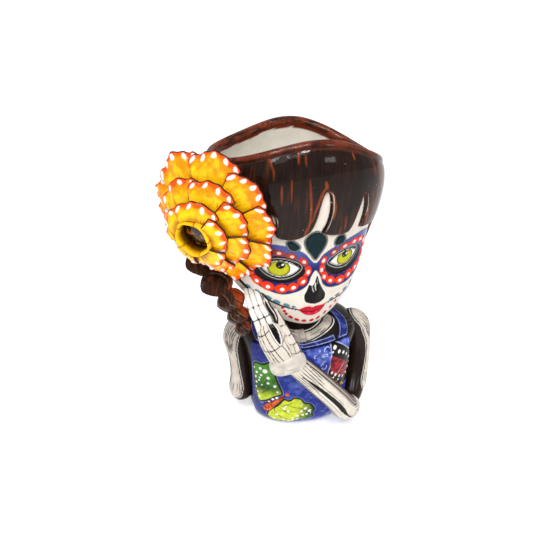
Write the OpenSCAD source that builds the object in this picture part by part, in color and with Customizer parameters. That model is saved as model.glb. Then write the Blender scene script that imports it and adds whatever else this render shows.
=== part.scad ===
// Catrina bust planter: a hollow hand-built earthenware figure with a flower, a braid and a raised hand.
// Frame: millimetres, +Z up, origin at the middle of the foot, the chest faces -Y.

/* [Bust] */
// Height of the bust from the foot to the neck seam
torso_h = 140; // [130:1:150]
// Half width of the chest under the arms
chest_w = 74; // [70:1:78]
// Wall thickness of the hollow shells
wall = 6; // [5:0.5:7]
// Radius of the drain hole in the foot
drain_r = 6; // [4:0.5:8]
// Thickness of the floor slab in the foot
floor_t = 8; // [6:1:10]

/* [Head] */
// Height of the head from the chin to the highest point of the rim
head_h = 196; // [190:1:200]
// Half width of the head at the widest part of the hair
head_w = 97; // [94:1:100]
// How far the face turns to the figure's left, in degrees
head_turn = 12; // [8:1:16]
// How far the head leans to the figure's left, in degrees
head_lean = 3.5; // [2:0.5:5]
// Thickness of the hair that is laid over the head shell
hair_t = 4; // [3:0.5:5]
// Radius of the rolled lip around the opening
lip_r = 5; // [4.5:0.5:6]

/* [Flower] */
// Radius of the flower over the tips of its outer petals
flower_r = 70; // [68:1:72]
// Thickness of a petal
petal_t = 3.2; // [3:0.1:3.5]
// Petals in the outer, middle and inner rows
outer_petals = 9; // [8:1:10]
middle_petals = 7; // [6:1:8]
inner_petals = 5; // [4:1:6]

/* [Arm] */
// Thickness of the forearm at its middle
forearm_w = 28; // [26:1:30]
// Thickness of a finger
finger_w = 6.4; // [6:0.1:7]

/* [Hidden] */
gap = 0.15;            // clearance left for the slip between two joined pieces
bed = 0.27;            // thickness of the slip under the pieces laid on the bust
room = 0.45;           // clearance between pieces that lie over one another
columns = 40;          // points around a shell
neck_x = -8;           // the neck leans towards the figure's right
neck_r = 26;
neck_bore_r = 18;
bib_t = 2.5;
head_at = [-15, 0, torso_h + 5];
flower_at = [-95, -62, 269];
flower_turn = 34;      // degrees from straight ahead towards the figure's right
flower_dip = 13;       // degrees below level
rim_skew = .09;        // how far the back of the rim is raised towards the figure's left

// Rows of the bust: height, half width, depth to the front, depth to the back, as shares of torso_h and chest_w,
// then the share of neck_x the row is moved by
bust_rows = [[0, .68, .56, .60, 0], [.03, .74, .65, .67, 0], [.12, .79, .77, .73, 0], [.3, .82, .83, .75, 0],
             [.5, .84, .83, .74, 0], [.66, .90, .79, .70, 0], [.78, .95, .72, .65, 0], [.87, .85, .62, .58, .2],
             [.94, .62, .5, .5, .6], [1, .41, .41, .41, 1]];
// Rows of the head: heights at the front, side and back as shares of head_h, then half width and depths to
// the front and the back as shares of head_w, then a shift in x that brings the neck opening over the bust
head_rows = [[.07, .07, .07, .25, .25, .25, 7], [.015, .05, .08, .34, .54, .38, 4], [0, .05, .1, .40, .68, .47, 1],
             [.03, .10, .15, .55, .74, .60, 0], [.1, .17, .21, .71, .77, .72, 0],
             [.21, .26, .3, .81, .78, .80, 0], [.34, .37, .39, .86, .79, .84, 0], [.48, .5, .51, .89, .81, .85, 0],
             [.63, .62, .64, .95, .86, .85, 0], [.79, .72, .77, .985, .855, .83, 0],
             [.91, .79, .87, .98, .82, .8, 0], [.985, .835, .955, .95, .76, .76, 0]];

// ---- Curves through rows of numbers ----

function spline(a, b, c, d, s) =
    ((2 * b) + (c - a) * s + (2 * a - 5 * b + 4 * c - d) * s * s + (3 * b - a - 3 * c + d) * s * s * s) / 2;
// Value of a smooth curve through rows at t, from 0 at the first row to 1 at the last
function along(rows, t) =
    let (n = len(rows) - 1, p = min(max(t, 0), 0.99999) * n, i = floor(p), s = p - i)
    spline(rows[max(i - 1, 0)], rows[i], rows[i + 1], rows[min(i + 2, n)], s);
function unit(v) = v / norm(v);

// Radius of an oval with half width a and half depth d, in direction q
function oval(q, a, d, n) = pow(pow(abs(cos(q)) / a, n) + pow(abs(sin(q)) / d, n), -1 / n);

// ---- Surfaces ----

// Point on the bust at angle q around it and share t of its height
function bust_point(q, t) =
    let (r = along(bust_rows, t), d = sin(q) < 0 ? r[2] : r[3], k = chest_w * oval(q, r[1], d, 2.3))
    [k * cos(q) + neck_x * r[4], k * sin(q), torso_h * r[0]];
// Point on the head at angle q around it and share t from the neck to the rim, in the head's own frame
function head_point(q, t) =
    let (r = along(head_rows, t), d = sin(q) < 0 ? r[4] : r[5], s = sin(q) * sin(q),
         k = head_w * oval(q, r[3], d, 2.2), end_z = sin(q) < 0 ? r[0] : r[2] + rim_skew * cos(q) * pow(t, 3))
    [k * cos(q) + r[6], k * sin(q), head_h * (r[1] + (end_z - r[1]) * s)];

// The same surfaces moved outwards by h along their normals
function normal_at(a, b, c, d) = unit(cross(b - a, d - c));
function bust_skin(q, t, h) =
    bust_point(q, t) + h * normal_at(bust_point(q - 1, t), bust_point(q + 1, t),
                                     bust_point(q, max(t - .01, 0)), bust_point(q, min(t + .01, 1)));
function head_skin(q, t, h) =
    head_point(q, t) + h * normal_at(head_point(q - 1, t), head_point(q + 1, t),
                                     head_point(q, max(t - .01, 0)), head_point(q, min(t + .01, 1)));

// ---- Solids from grids of points ----

function sheet_faces(n, m, first, flip, wrap) =
    [for (i = [0:n - (wrap ? 1 : 2)], j = [0:m - 2])
        let (a = first + i * m + j, b = first + ((i + 1) % n) * m + j)
        for (f = flip ? [[a, b + 1, a + 1], [a, b, b + 1]] : [[a, a + 1, b + 1], [a, b + 1, b]]) f];
function quad(a, b, c, d) = [[a, b, c], [a, c, d]];

// A thick sheet between two grids of points; wrap closes it around its first direction
module thick_sheet(top, bottom, wrap = false) {
    n = len(top);
    m = len(top[0]);
    o = n * m;
    ends = wrap ? [] : [for (j = [0:m - 2], f = concat(quad(j + 1, j, o + j, o + j + 1),
        quad(o - m + j, o - m + j + 1, 2 * o - m + j + 1, 2 * o - m + j))) f];
    sides = [for (i = [0:n - (wrap ? 1 : 2)])
        let (a = i * m, b = ((i + 1) % n) * m, c = a + m - 1, d = b + m - 1)
        for (f = concat(quad(a, b, o + b, o + a), quad(d, c, o + c, o + d))) f];
    polyhedron(points = [for (g = [top, bottom], row = g, p = row) p],
               faces = concat(sheet_faces(n, m, 0, false, wrap), sheet_faces(n, m, o, true, wrap), ends, sides));
}

// A closed solid through rings of points, with a cap on each end
module loft(rings) {
    n = len(rings);
    m = len(rings[0]);
    middle = function(ring) [for (k = [0:2]) [for (p = ring) p[k]] * [for (p = ring) 1 / m]];
    faces = [for (k = [0:n - 2], i = [0:m - 1])
        let (a = k * m + i, b = k * m + (i + 1) % m) for (f = [[a, a + m, b + m], [a, b + m, b]]) f];
    caps = [for (i = [0:m - 1]) let (j = (i + 1) % m, e = (n - 1) * m)
        for (f = [[i, j, n * m], [e + j, e + i, n * m + 1]]) f];
    polyhedron(points = concat([for (r = rings, p = r) p], [middle(rings[0]), middle(rings[n - 1])]),
               faces = concat(faces, caps));
}

// A limb with round ends through stations of x, y, z, half width and half thickness, grown by "grow"; its
// thickness looks along "face"
module limb(stations, face = [0, -1, 0], grow = 0, sides = 16, rings = 14) {
    span = norm(along(stations, 0) - along(stations, 1));
    loft([for (k = [0:rings]) let (
        t = (1 - cos(180 * k / rings)) / 2,
        s = along(stations, t),
        ahead = along(stations, min(t + .02, 1)) - along(stations, max(t - .02, 0)),
        d = unit([ahead[0], ahead[1], ahead[2]]),
        u = unit(cross(face, d)),
        v = cross(d, u),
        inset = min(1, min(t, 1 - t) * span / s[3]),
        cap = max(.15, sqrt(1 - (1 - inset) * (1 - inset))))
        [for (i = [0:sides - 1]) let (q = 360 * i / sides)
            [s[0], s[1], s[2]] + (s[3] * cap + grow) * cos(q) * u + (s[4] * cap + grow) * sin(q) * v
            + (k == 0 ? -grow : k == rings ? grow : 0) * d]]);
}

// A closed ring whose sections are the rows of a grid
module closed_ring(grid) {
    n = len(grid);
    m = len(grid[0]);
    polyhedron(points = [for (row = grid, p = row) p],
               faces = [for (i = [0:n - 1], j = [0:m - 1])
                   let (a = i * m, b = ((i + 1) % n) * m, k = (j + 1) % m)
                   for (f = quad(a + j, a + k, b + k, b + j)) f]);
}

// ---- Bust ----

bust_top = 20;   // rows of points up the bust
module bust_block(grow) {
    loft([for (j = [0:bust_top]) [for (i = [0:columns - 1]) bust_skin(i * 360 / columns, j / bust_top, grow)]]);
}
module bust_shell() color("black") {
    rows = [for (j = [0:bust_top]) j / bust_top];
    thick_sheet([for (i = [0:columns - 1]) [for (t = rows) bust_point(i * 360 / columns, t)]],
                [for (i = [0:columns - 1]) [for (t = rows)
                    let (p = bust_skin(i * 360 / columns, t, -wall))
                    [p[0], p[1], t == 0 ? 0 : t == 1 ? torso_h : p[2]]]],
                wrap = true);
}

module foot_slab() color("saddlebrown") difference() {
    linear_extrude(floor_t)
        polygon([for (i = [0:columns - 1]) let (p = bust_skin(i * 360 / columns, 0, -wall - gap)) [p[0], p[1]]]);
    translate([0, 0, -1])
        cylinder(r = drain_r, h = floor_t + 2, $fn = 64);
}

// A sheet of clay laid on the bust between the angles in "foot" at its lower edge and "head" at its upper edge,
// and between shares t0 and t1; "dips" are how far the two edges sink at the middle of the chest
module bust_patch(foot, head, t0, t1, cols, rows, dips = [0, 0], low = bed, high = bib_t) {
    q = function(i, j) (foot[0] + (foot[1] - foot[0]) * i / cols) * (1 - j / rows)
                       + (head[0] + (head[1] - head[0]) * i / cols) * j / rows;
    dip = function(i, j) (dips[0] + (dips[1] - dips[0]) * j / rows) * max(0, 1 - abs(q(i, j) - 270) / 45);
    t = function(i, j) t0 + (t1 - t0) * j / rows - dip(i, j);
    thick_sheet([for (i = [0:cols]) [for (j = [0:rows]) bust_skin(q(i, j), t(i, j), high)]],
                [for (i = [0:cols]) [for (j = [0:rows]) bust_skin(q(i, j), t(i, j), low)]]);
}
module bib_sheet(low, high, side = 0)
    bust_patch([206 - side, 330 + side], [212 - side, 324 + side], .1, .665, 22, 12, [0, .035], low, high);
module bib() color("royalblue") bib_sheet(bed, bib_t);
module bib_band() color("navy") bust_patch([231.5, 308.5], [231.5, 308.5], .671, .735, 14, 3, [.035, .05]);
module strap_left() color("navy") bust_patch([309.5, 322], [338, 354], .671, .95, 4, 12);
module strap_right() color("navy") bust_patch([218, 230.5], [186, 202], .671, .95, 4, 12);

// ---- Head ----

head_top = 22;   // rows of points up the head
module head_frame() {
    translate(head_at) rotate([0, head_lean, head_turn]) children();
}
// The edge of the head's shell is level across its thickness
function head_edge(q, t, h) =
    let (p = head_skin(q, t, h)) t == 1 ? [p[0], p[1], head_point(q, 1)[2]] : p;
module head_block(grow) head_frame()
    loft([for (j = [0:head_top]) [for (i = [0:columns - 1]) head_skin(i * 360 / columns, j / head_top, grow)]]);
module head_shell() color("ivory") head_frame() {
    rows = [for (j = [0:head_top]) j / head_top];
    thick_sheet([for (i = [0:columns - 1]) [for (t = rows) head_point(i * 360 / columns, t)]],
                [for (i = [0:columns - 1]) [for (t = rows) head_edge(i * 360 / columns, t, -wall)]],
                wrap = true);
}
// The rolled lip stands on the edges of the shell and the hair
module rim_lip() color("saddlebrown") head_frame()
    closed_ring([for (i = [0:columns - 1])
        let (q = i * 360 / columns, a = head_edge(q, 1, -wall), b = head_edge(q, 1, hair_t),
             c = (a + b) / 2, u = (b - a) / 2 * 1.1)
        [for (j = [0:8]) let (s = 180 * j / 8) c + u * cos(s) + [0, 0, gap + lip_r * 1.5 * sin(s)]]]);

// Share of the way up the head where the fringe starts
fringe_from = .655;
module hair(q0, q1, cols, from) head_frame() {
    q = function(i) q0 + (q1 - q0) * i / cols;
    t = function(i, j) from(q(i)) + (1 - from(q(i))) * j / 9;
    thick_sheet([for (i = [0:cols]) [for (j = [0:9]) head_edge(q(i), j == 9 ? 1 : t(i, j), hair_t)]],
                [for (i = [0:cols]) [for (j = [0:9]) head_edge(q(i), j == 9 ? 1 : t(i, j), gap)]]);
}
module hair_fringe() color("sienna") hair(205.3, 334.7, 16, function(q) fringe_from);
module hair_back() color("saddlebrown")
    hair(-25, 205, 26, function(q) fringe_from - .42 * pow(sin(180 * (q + 25) / 230), .7));

// The neck joins the underside of the head to the top of the bust
module neck_ring() color("black") resize([0, 0, 0]) difference() {
    translate([neck_x, 0, torso_h + gap])
        cylinder(r = neck_r, h = 22, $fn = 48);
    translate([neck_x, 0, torso_h - 1])
        cylinder(r = neck_bore_r, h = 40, $fn = 48);
    head_block(gap);
}

// ---- Arms ----

module right_arm() color("linen") resize([0, 0, 0]) difference() {
    limb([[-58, 3, 116, 10, 11], [-70, 2, 106, 14, 15], [-73, 0, 94, 15.5, 15], [-69, -2, 72, 14, 14],
          [-67, -5, 48, 14, 14], [-68, -8, 28, 15, 15], [-65, -11, 14, 11, 12]]);
    bust_block(gap);
}
module left_arm_block(grow)
    limb([[58, 4, 116, 10, 10], [72, 4, 106, 14, 14], [76, 3, 94, 15, 15], [77, -2, 72, 14.5, 14],
          [73, -12, 46, 14, 13], [66, -26, 26, 13, 13], [60, -38, 20, 11, 11]], grow = grow);
module left_arm() color("linen") resize([0, 0, 0]) difference() {
    left_arm_block(0);
    bust_block(gap);
    bib_sheet(0, bib_t + room, 1);
}
module forearm_block(grow)
    limb([[62, -44, 24, 11, 11], [50, -59, 26, 15, 15], [34, -69, 48, forearm_w / 2 + .5, forearm_w / 2],
          [12, -77, 75, forearm_w / 2, forearm_w / 2 - .5], [-8, -81, 97, 13, 12], [-17, -83, 106, 11, 10]],
         grow = grow);
module left_forearm() color("linen") resize([0, 0, 0]) difference() {
    forearm_block(0);
    bust_block(bib_t + room);
    left_arm_block(gap);
    wrist_block(gap);
}
module wrist_block(grow)
    limb([[-4, -84, 111, 8, 8], [-14, -86, 110, 12, 11.5], [-32, -86, 105, 12, 11.5], [-42, -84, 101, 8, 8]],
         grow = grow);
module wrist() color("linen") resize([0, 0, 0]) difference() {
    wrist_block(0);
    bust_block(bib_t + room);
}
palm_from = [-26, -85, 108];
palm_to = [-46, -81, 157];
module palm_block(grow)
    limb([concat(palm_from, [14, 8]), [-32, -87, 122, 15, 9], [-40, -86, 140, 15, 8.5], concat(palm_to, [12, 7])],
         grow = grow);
module palm() color("linen") resize([0, 0, 0]) difference() {
    palm_block(0);
    wrist_block(gap);
    bust_block(bib_t + room);
    head_block(gap);
}
// Four fingers side by side, 0 for the index finger
across = unit(cross([0, -1, 0], palm_to - palm_from));
module finger_block(i, grow) {
    o = (i - 1.5) * (finger_w + .2);
    r = finger_w / 2;
    limb([concat(palm_to + o * across + [3, 0, -10], [r, r + .5]),
          concat(palm_to + o * across + [-1, -1, 4], [r, r + .5]),
          concat([-52, -76, 170] + .9 * o * across, [r, r]),
          concat([-56, -67, 181] + .85 * o * across, [.9 * r, .9 * r]),
          concat([-58, -56, 188] + .8 * o * across, [.75 * r, .75 * r])], grow = grow, rings = 12, sides = 12);
}
module finger(i) color("ivory") resize([0, 0, 0]) difference() {
    finger_block(i, 0);
    palm_block(gap);
    head_block(gap);
    if (i > 0) finger_block(i - 1, gap);
}
module thumb() color("ivory") resize([0, 0, 0]) difference() {
    limb([[-12, -85, 114, 6, 7], [-18, -87, 130, 6, 6], [-28, -84, 150, 5, 5], [-38, -74, 168, 4, 4]], rings = 12);
    palm_block(gap);
    wrist_block(gap);
    head_block(gap);
    finger_block(0, gap);
}

// ---- Flower ----

module flower_frame() {
    translate(flower_at) rotate([90 + flower_dip, 0, -flower_turn]) children();
}
module flower_boss() color("orange") resize([0, 0, 0]) difference() {
    flower_frame() translate([0, 0, -50])
        cylinder(r = 20, h = 48 - gap, $fn = 40);
    head_block(hair_t + room);
}
module flower_core() color("gold") flower_frame()
    rotate_extrude($fn = 48)
        polygon([[0, -2], [25, -2], [28, 1], [28, 14.5], [24, 15.5], [24, 30.5], [19.5, 31.5], [19.5, 43], [18.5, 45],
                 [17, 45], [16, 43], [15, 30], [0, 30]]);
module flower_eye() color("saddlebrown") flower_frame() translate([0, 0, 30 + gap])
    rotate_extrude($fn = 48)
        polygon([[0, 0], [14.8, 0], [14.8, 1.5], [11, 3.5], [6, 5], [0, 5.5]]);

// Rows of petals: count, turn, radius at the root and tip, height at the root and tip, how far the edges rise
outer_row = [outer_petals, 0, 28 + gap, flower_r, 10.5, -1, 1];
middle_row = [middle_petals, 20, 24 + gap, .72 * flower_r, 26.5, 15.5, 1.5];
inner_row = [inner_petals, 8, 19.5 + gap, .5 * flower_r, 40, 32.5, 1.5];
// Point on a petal, w from -1 to 1 across it and s from 0 at the root to 1 at the tip; the tip is rounded with
// three waves, and each petal tilts so that one edge lies over the next petal
function petal_point(row, w, s) =
    let (q = row[1] + 180 / row[0] * 1.2 * w, wave = .05 * cos(330 * w) - .22 * pow(w, 4),
         r = row[2] + (row[3] - row[2]) * s * (1 + s * wave))
    [r * cos(q), r * sin(q), row[4] + (row[5] - row[4]) * pow(s, 1.3) + row[6] * w * w * s + 1.05 * petal_t * w];
function petal_skin(row, w, s, h) =
    petal_point(row, w, s) + h * unit(cross(petal_point(row, w, min(s + .02, 1)) - petal_point(row, w, max(s - .02, 0)),
                                            petal_point(row, w + .02, s) - petal_point(row, w - .02, s)));
// The petals near the top and bottom of a row are a little longer
module petal(row, i) flower_frame() rotate(360 * i / row[0]) {
    k = 1 + .06 * cos(2 * (360 * i / row[0] + row[1] + 75));
    own = [row[0], row[1], row[2], row[3] * k, row[4], row[5], row[6]];
    thick_sheet([for (a = [0:10]) [for (b = [0:5]) petal_skin(own, -1 + a / 5, b / 5, -petal_t / 2)]],
                [for (a = [0:10]) [for (b = [0:5]) petal_skin(own, -1 + a / 5, b / 5, petal_t / 2)]]);
}

// ---- Braid ----

// Lobes from the head down: centre and radius
braid_lobes = [[-108, -30, 212, 23], [-95, -42, 190, 20], [-81, -53, 171, 16], [-74, -58, 155, 12.5],
               [-69, -61, 140, 9.5]];
module lobe_block(i, grow) {
    p = braid_lobes[i];
    d = i < 4 ? braid_lobes[i + 1] - p : p - braid_lobes[i - 1];
    c = [p[0], p[1], p[2]];
    e = unit([d[0], d[1], d[2]]);
    limb([concat(c - .8 * p[3] * e, [.7 * p[3], .7 * p[3]]), concat(c - .3 * p[3] * e, [p[3], p[3]]),
          concat(c + .3 * p[3] * e, [p[3], p[3]]), concat(c + .9 * p[3] * e, [.7 * p[3], .7 * p[3]])],
         grow = grow, rings = 10);
}
module braid_lobe(i) color("saddlebrown") resize([0, 0, 0]) difference() {
    lobe_block(i, 0);
    flower_frame() translate([0, 0, -7])
        cylinder(r1 = 76, r2 = 116, h = 60, $fn = 40);
    head_block(hair_t + room);
    if (i > 0) lobe_block(i - 1, gap);
    for (k = [0:3]) finger_block(k, gap);
    palm_block(gap);
}

// ---- Output ----

foot_slab();
bust_shell();
neck_ring();
bib();
bib_band();
strap_left();
strap_right();
right_arm();
left_arm();
left_forearm();
wrist();
palm();
finger(0);  // index_finger
finger(1);  // middle_finger
finger(2);  // ring_finger
finger(3);  // little_finger
thumb();
head_shell();
rim_lip();
hair_fringe();
hair_back();
flower_boss();
flower_core();
flower_eye();
for (i = [1:5])
    braid_lobe(i - 1);
for (i = [1:outer_petals])
    color("orangered") petal(outer_row, i);
for (i = [1:middle_petals])
    color("orange") petal(middle_row, i);
for (i = [1:inner_petals])
    color("gold") petal(inner_row, i);
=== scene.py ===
"""Looks of the catrina bust planter: glazed and hand-painted earthenware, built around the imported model."""
import math

import bpy
import numpy as np
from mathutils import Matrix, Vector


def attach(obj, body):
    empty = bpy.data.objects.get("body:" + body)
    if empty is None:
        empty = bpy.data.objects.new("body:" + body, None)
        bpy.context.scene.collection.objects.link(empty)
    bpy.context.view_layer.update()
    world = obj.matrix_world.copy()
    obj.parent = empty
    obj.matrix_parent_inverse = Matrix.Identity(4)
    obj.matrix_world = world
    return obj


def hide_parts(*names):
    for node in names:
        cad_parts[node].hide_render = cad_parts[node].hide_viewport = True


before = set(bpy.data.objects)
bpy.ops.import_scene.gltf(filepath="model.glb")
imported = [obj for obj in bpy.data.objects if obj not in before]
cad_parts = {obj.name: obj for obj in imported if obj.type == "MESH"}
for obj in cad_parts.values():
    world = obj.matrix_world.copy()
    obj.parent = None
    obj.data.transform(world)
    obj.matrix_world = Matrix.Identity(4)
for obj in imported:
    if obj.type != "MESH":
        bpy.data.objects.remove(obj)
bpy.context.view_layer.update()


# ---- Colours ----

def rgb(r, g, b):
    return np.array([((c / 255 + 0.055) / 1.055) ** 2.4 for c in (r, g, b)])


BONE = rgb(204, 196, 184)
# darker bone: random mottle, and painted shade on the lower face and the rounded sides of limbs
BONE_MOTTLE_AND_SHADE = rgb(168, 152, 142)
WHITE = rgb(226, 222, 216)
BLACK = rgb(16, 12, 11)
LINE = rgb(30, 24, 23)
NAVY = rgb(20, 28, 86)
BLUE = rgb(50, 72, 160)
PERIWINKLE = rgb(66, 78, 138)
HAIR = rgb(26, 15, 11)
BROWN = rgb(72, 36, 20)
AMBER = rgb(124, 52, 14)
RED_ORANGE = rgb(226, 50, 12)
ORANGE = rgb(240, 132, 14)
YELLOW = rgb(246, 190, 16)
CRIMSON = rgb(172, 16, 40)
TEAL = rgb(70, 118, 136)


# ---- Numbers and noise ----

def smooth(x):
    x = np.clip(x, 0, 1)
    return x * x * (3 - 2 * x)


def unit(v):
    return v / np.maximum(np.linalg.norm(v, axis=-1, keepdims=True), 1e-9)


def cloud(x, y, seed=0, octaves=3):
    """Soft noise from 0 to 1 over a plane."""
    total, weight, share = 0, 0, 1.0
    for k in range(octaves):
        a, b = np.floor(x), np.floor(y)
        u, v = smooth(x - a), smooth(y - b)

        def corner(i, j):
            n = np.sin((a + i) * 127.1 + (b + j) * 311.7 + seed * 74.7 + k * 19.3) * 43758.5453
            return n - np.floor(n)

        low = corner(0, 0) * (1 - u) + corner(1, 0) * u
        high = corner(0, 1) * (1 - u) + corner(1, 1) * u
        total = total + share * (low * (1 - v) + high * v)
        weight += share
        share *= 0.5
        x, y = x * 2.03, y * 2.03
    return total / weight


def grid(a, b):
    return np.meshgrid(a, b, indexing="ij")


def dome(k):
    """A quarter circle: from 0 to 1 with an upright start and a level end."""
    return np.sqrt(k * (2 - k))


def flat(x, y):
    return np.stack([x, y, 0 * x], -1)


def blend(a, b, share):
    return a + (b - a) * np.asarray(share)[..., None]


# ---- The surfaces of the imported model, in millimetres ----

# height, half width, depth in front, depth behind, shift of the middle, as shares
BUST_ROWS = np.array([
    [0, 0.68, 0.56, 0.60, 0], [0.03, 0.74, 0.65, 0.67, 0], [0.12, 0.79, 0.77, 0.73, 0],
    [0.3, 0.82, 0.83, 0.75, 0], [0.5, 0.84, 0.83, 0.74, 0], [0.66, 0.90, 0.79, 0.70, 0],
    [0.78, 0.95, 0.72, 0.65, 0], [0.87, 0.85, 0.62, 0.58, 0.2], [0.94, 0.62, 0.5, 0.5, 0.6],
    [1, 0.41, 0.41, 0.41, 1]])
# height in front, at the side and behind, half width, depth in front and behind, then shift in mm
HEAD_ROWS = np.array([
    [0.07, 0.07, 0.07, 0.25, 0.25, 0.25, 7], [0.015, 0.05, 0.08, 0.34, 0.54, 0.38, 4],
    [0, 0.05, 0.1, 0.40, 0.68, 0.47, 1], [0.03, 0.10, 0.15, 0.55, 0.74, 0.60, 0],
    [0.1, 0.17, 0.21, 0.71, 0.77, 0.72, 0], [0.21, 0.26, 0.3, 0.81, 0.78, 0.80, 0],
    [0.34, 0.37, 0.39, 0.86, 0.79, 0.84, 0], [0.48, 0.5, 0.51, 0.89, 0.81, 0.85, 0],
    [0.63, 0.62, 0.64, 0.95, 0.86, 0.85, 0], [0.79, 0.72, 0.77, 0.985, 0.855, 0.83, 0],
    [0.91, 0.79, 0.87, 0.98, 0.82, 0.8, 0], [0.985, 0.835, 0.955, 0.95, 0.76, 0.76, 0]])
BUST_HIGH, BUST_HALF, HEAD_HIGH, HEAD_HALF = 140, 74, 196, 97
WALL, HAIR_T, LIP_R, BIB_T, GAP = 6, 4, 5, 2.5, 0.15
NECK_SHIFT, NECK_R, NECK_BORE, NECK_HIGH = 8, 26, 18, 11
BUST_SQUARE, HEAD_SQUARE = 2.3, 2.2
HEAD_AT = np.array([-15, 0, 145.0])
FLOWER_AT = np.array([-95, -62, 269.0])


def turned(axis, degrees):
    c, s = math.cos(math.radians(degrees)), math.sin(math.radians(degrees))
    rows = {"x": [[1, 0, 0], [0, c, -s], [0, s, c]], "y": [[c, 0, s], [0, 1, 0], [-s, 0, c]],
            "z": [[c, -s, 0], [s, c, 0], [0, 0, 1]]}
    return np.array(rows[axis])


HEAD_TURN = turned("z", 12) @ turned("y", 3.5)
FLOWER_TURN = turned("z", -34) @ turned("x", 103)


def head_to_world(p):
    return p @ HEAD_TURN.T + HEAD_AT


def flower_to_world(p):
    return p @ FLOWER_TURN.T + FLOWER_AT


def between(a, b, c, d, s):
    """A smooth step from b to c as s goes from 0 to 1, with a before them and d after them."""
    return (2 * b + (c - a) * s + (2 * a - 5 * b + 4 * c - d) * s * s + (3 * b - a - 3 * c + d) * s
            ** 3) / 2


def along(rows, t):
    """Value of a smooth curve through rows at t, from 0 at the first row to 1 at the last."""
    rows = np.asarray(rows, float)
    n = len(rows) - 1
    p = np.clip(t, 0, 0.99999) * n
    i = np.floor(p).astype(int)
    s = (p - i)[..., None]
    return between(rows[np.maximum(i - 1, 0)], rows[i], rows[i + 1], rows[np.minimum(i + 2, n)], s)


def oval(q, a, d, n):
    return (np.abs(np.cos(q) / a) ** n + np.abs(np.sin(q) / d) ** n) ** (-1 / n)


def bust_point(q, t):
    q, r = np.radians(q), along(BUST_ROWS, t)
    k = BUST_HALF * oval(q, r[..., 1], np.where(np.sin(q) < 0, r[..., 2], r[..., 3]), BUST_SQUARE)
    return np.stack([k * np.cos(q) - NECK_SHIFT * r[..., 4], k * np.sin(q), BUST_HIGH * r[..., 0]], -1)


def head_point(q, t):
    q, r, t = np.radians(q), along(HEAD_ROWS, t), np.clip(t, 0, 1)
    front = np.sin(q) < 0
    k = HEAD_HALF * oval(q, r[..., 3], np.where(front, r[..., 4], r[..., 5]), HEAD_SQUARE)
    end = np.where(front, r[..., 0], r[..., 2] + 0.09 * np.cos(q) * t ** 3)
    rise = r[..., 1] + (end - r[..., 1]) * np.sin(q) ** 2
    return np.stack([k * np.cos(q) + r[..., 6], k * np.sin(q), HEAD_HIGH * rise], -1)


def lifted(point, q, t, h):
    """Points of a surface moved outwards by h."""
    a = point(q + 0.6, t) - point(q - 0.6, t)
    b = point(q, np.minimum(t + 0.006, 1)) - point(q, np.maximum(t - 0.006, 0))
    return point(q, t) + np.asarray(h)[..., None] * unit(np.cross(a, b))


SHARES = np.linspace(0, 1, 500)


def clear_of_bust(p, h):
    """Points inside the bust are moved out to its skin."""
    t = np.interp(p[..., 2], bust_point(np.zeros(500), SHARES)[..., 2], SHARES)
    centre = -NECK_SHIFT * along(BUST_ROWS, t)[..., 4]
    x = p[..., 0] - centre
    skin = bust_point(np.degrees(np.arctan2(p[..., 1], x)), t)
    room = np.hypot(skin[..., 0] - centre, skin[..., 1]) + h
    k = np.where(
        p[..., 2] < BUST_HIGH - 1, np.maximum(room / np.maximum(np.hypot(x, p[..., 1]), 1e-6), 1), 1)
    return np.stack([centre + x * k, p[..., 1] * k, p[..., 2]], -1)


def clear_of_head(p, h):
    """Points inside the head are moved out to its skin."""
    own = (p - HEAD_AT) @ HEAD_TURN
    q = np.degrees(np.arctan2(own[..., 1], own[..., 0]))
    low, high = np.full(q.shape, 0.2), np.full(q.shape, 1.0)
    above = own[..., 2] > head_point(q, low)[..., 2]
    for _ in range(14):
        middle = (low + high) / 2
        under = head_point(q, middle)[..., 2] < own[..., 2]
        low, high = np.where(under, middle, low), np.where(under, high, middle)
    skin = head_point(q, low)
    room = np.hypot(skin[..., 0], skin[..., 1]) + h
    k = np.where(above, np.maximum(room / np.maximum(np.hypot(own[..., 0], own[..., 1]), 1e-6), 1), 1)
    return head_to_world(np.stack([own[..., 0] * k, own[..., 1] * k, own[..., 2]], -1))


# ---- Painted forms: signed distances in millimetres, negative inside ----

def curve(points, closed=False):
    """A smooth line through points, which may carry more numbers than x and y."""
    p = np.array(points, float)
    if closed:
        p = np.vstack([p[-1:], p, p[:2]])
    else:
        p = np.vstack([2 * p[:1] - p[1:2], p, 2 * p[-1:] - p[-2:-1]])
    s = np.linspace(0, 1, 7, endpoint=False)[:, None]
    return np.vstack([between(*four, s) for four in zip(p, p[1:], p[2:], p[3:])] + [p[-2:-1]])


def box_of(p, grow):
    return p[:, 0].min() - grow, p[:, 1].min() - grow, p[:, 0].max() + grow, p[:, 1].max() + grow


def disc(x, y, a, b=None, turn=0):
    b = b or a
    c, s = math.cos(math.radians(turn)), math.sin(math.radians(turn))

    def distance(px, py):
        u, v = (px - x) * c + (py - y) * s, (py - y) * c - (px - x) * s
        k = np.hypot(u / a, v / b)
        return (k - 1) * k / np.maximum(np.hypot(u / a ** 2, v / b ** 2), 1e-6)

    r = max(a, b) + 3
    return distance, (x - r, y - r, x + r, y + r)


def segment(px, py, ax, ay, bx, by):
    """Distance to the segment from a to b, and the share of the way along it of its nearest point."""
    dx, dy = bx - ax, by - ay
    k = np.clip(((px - ax) * dx + (py - ay) * dy) / (dx * dx + dy * dy + 1e-9), 0, 1)
    return np.hypot(px - ax - k * dx, py - ay - k * dy), k


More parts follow.
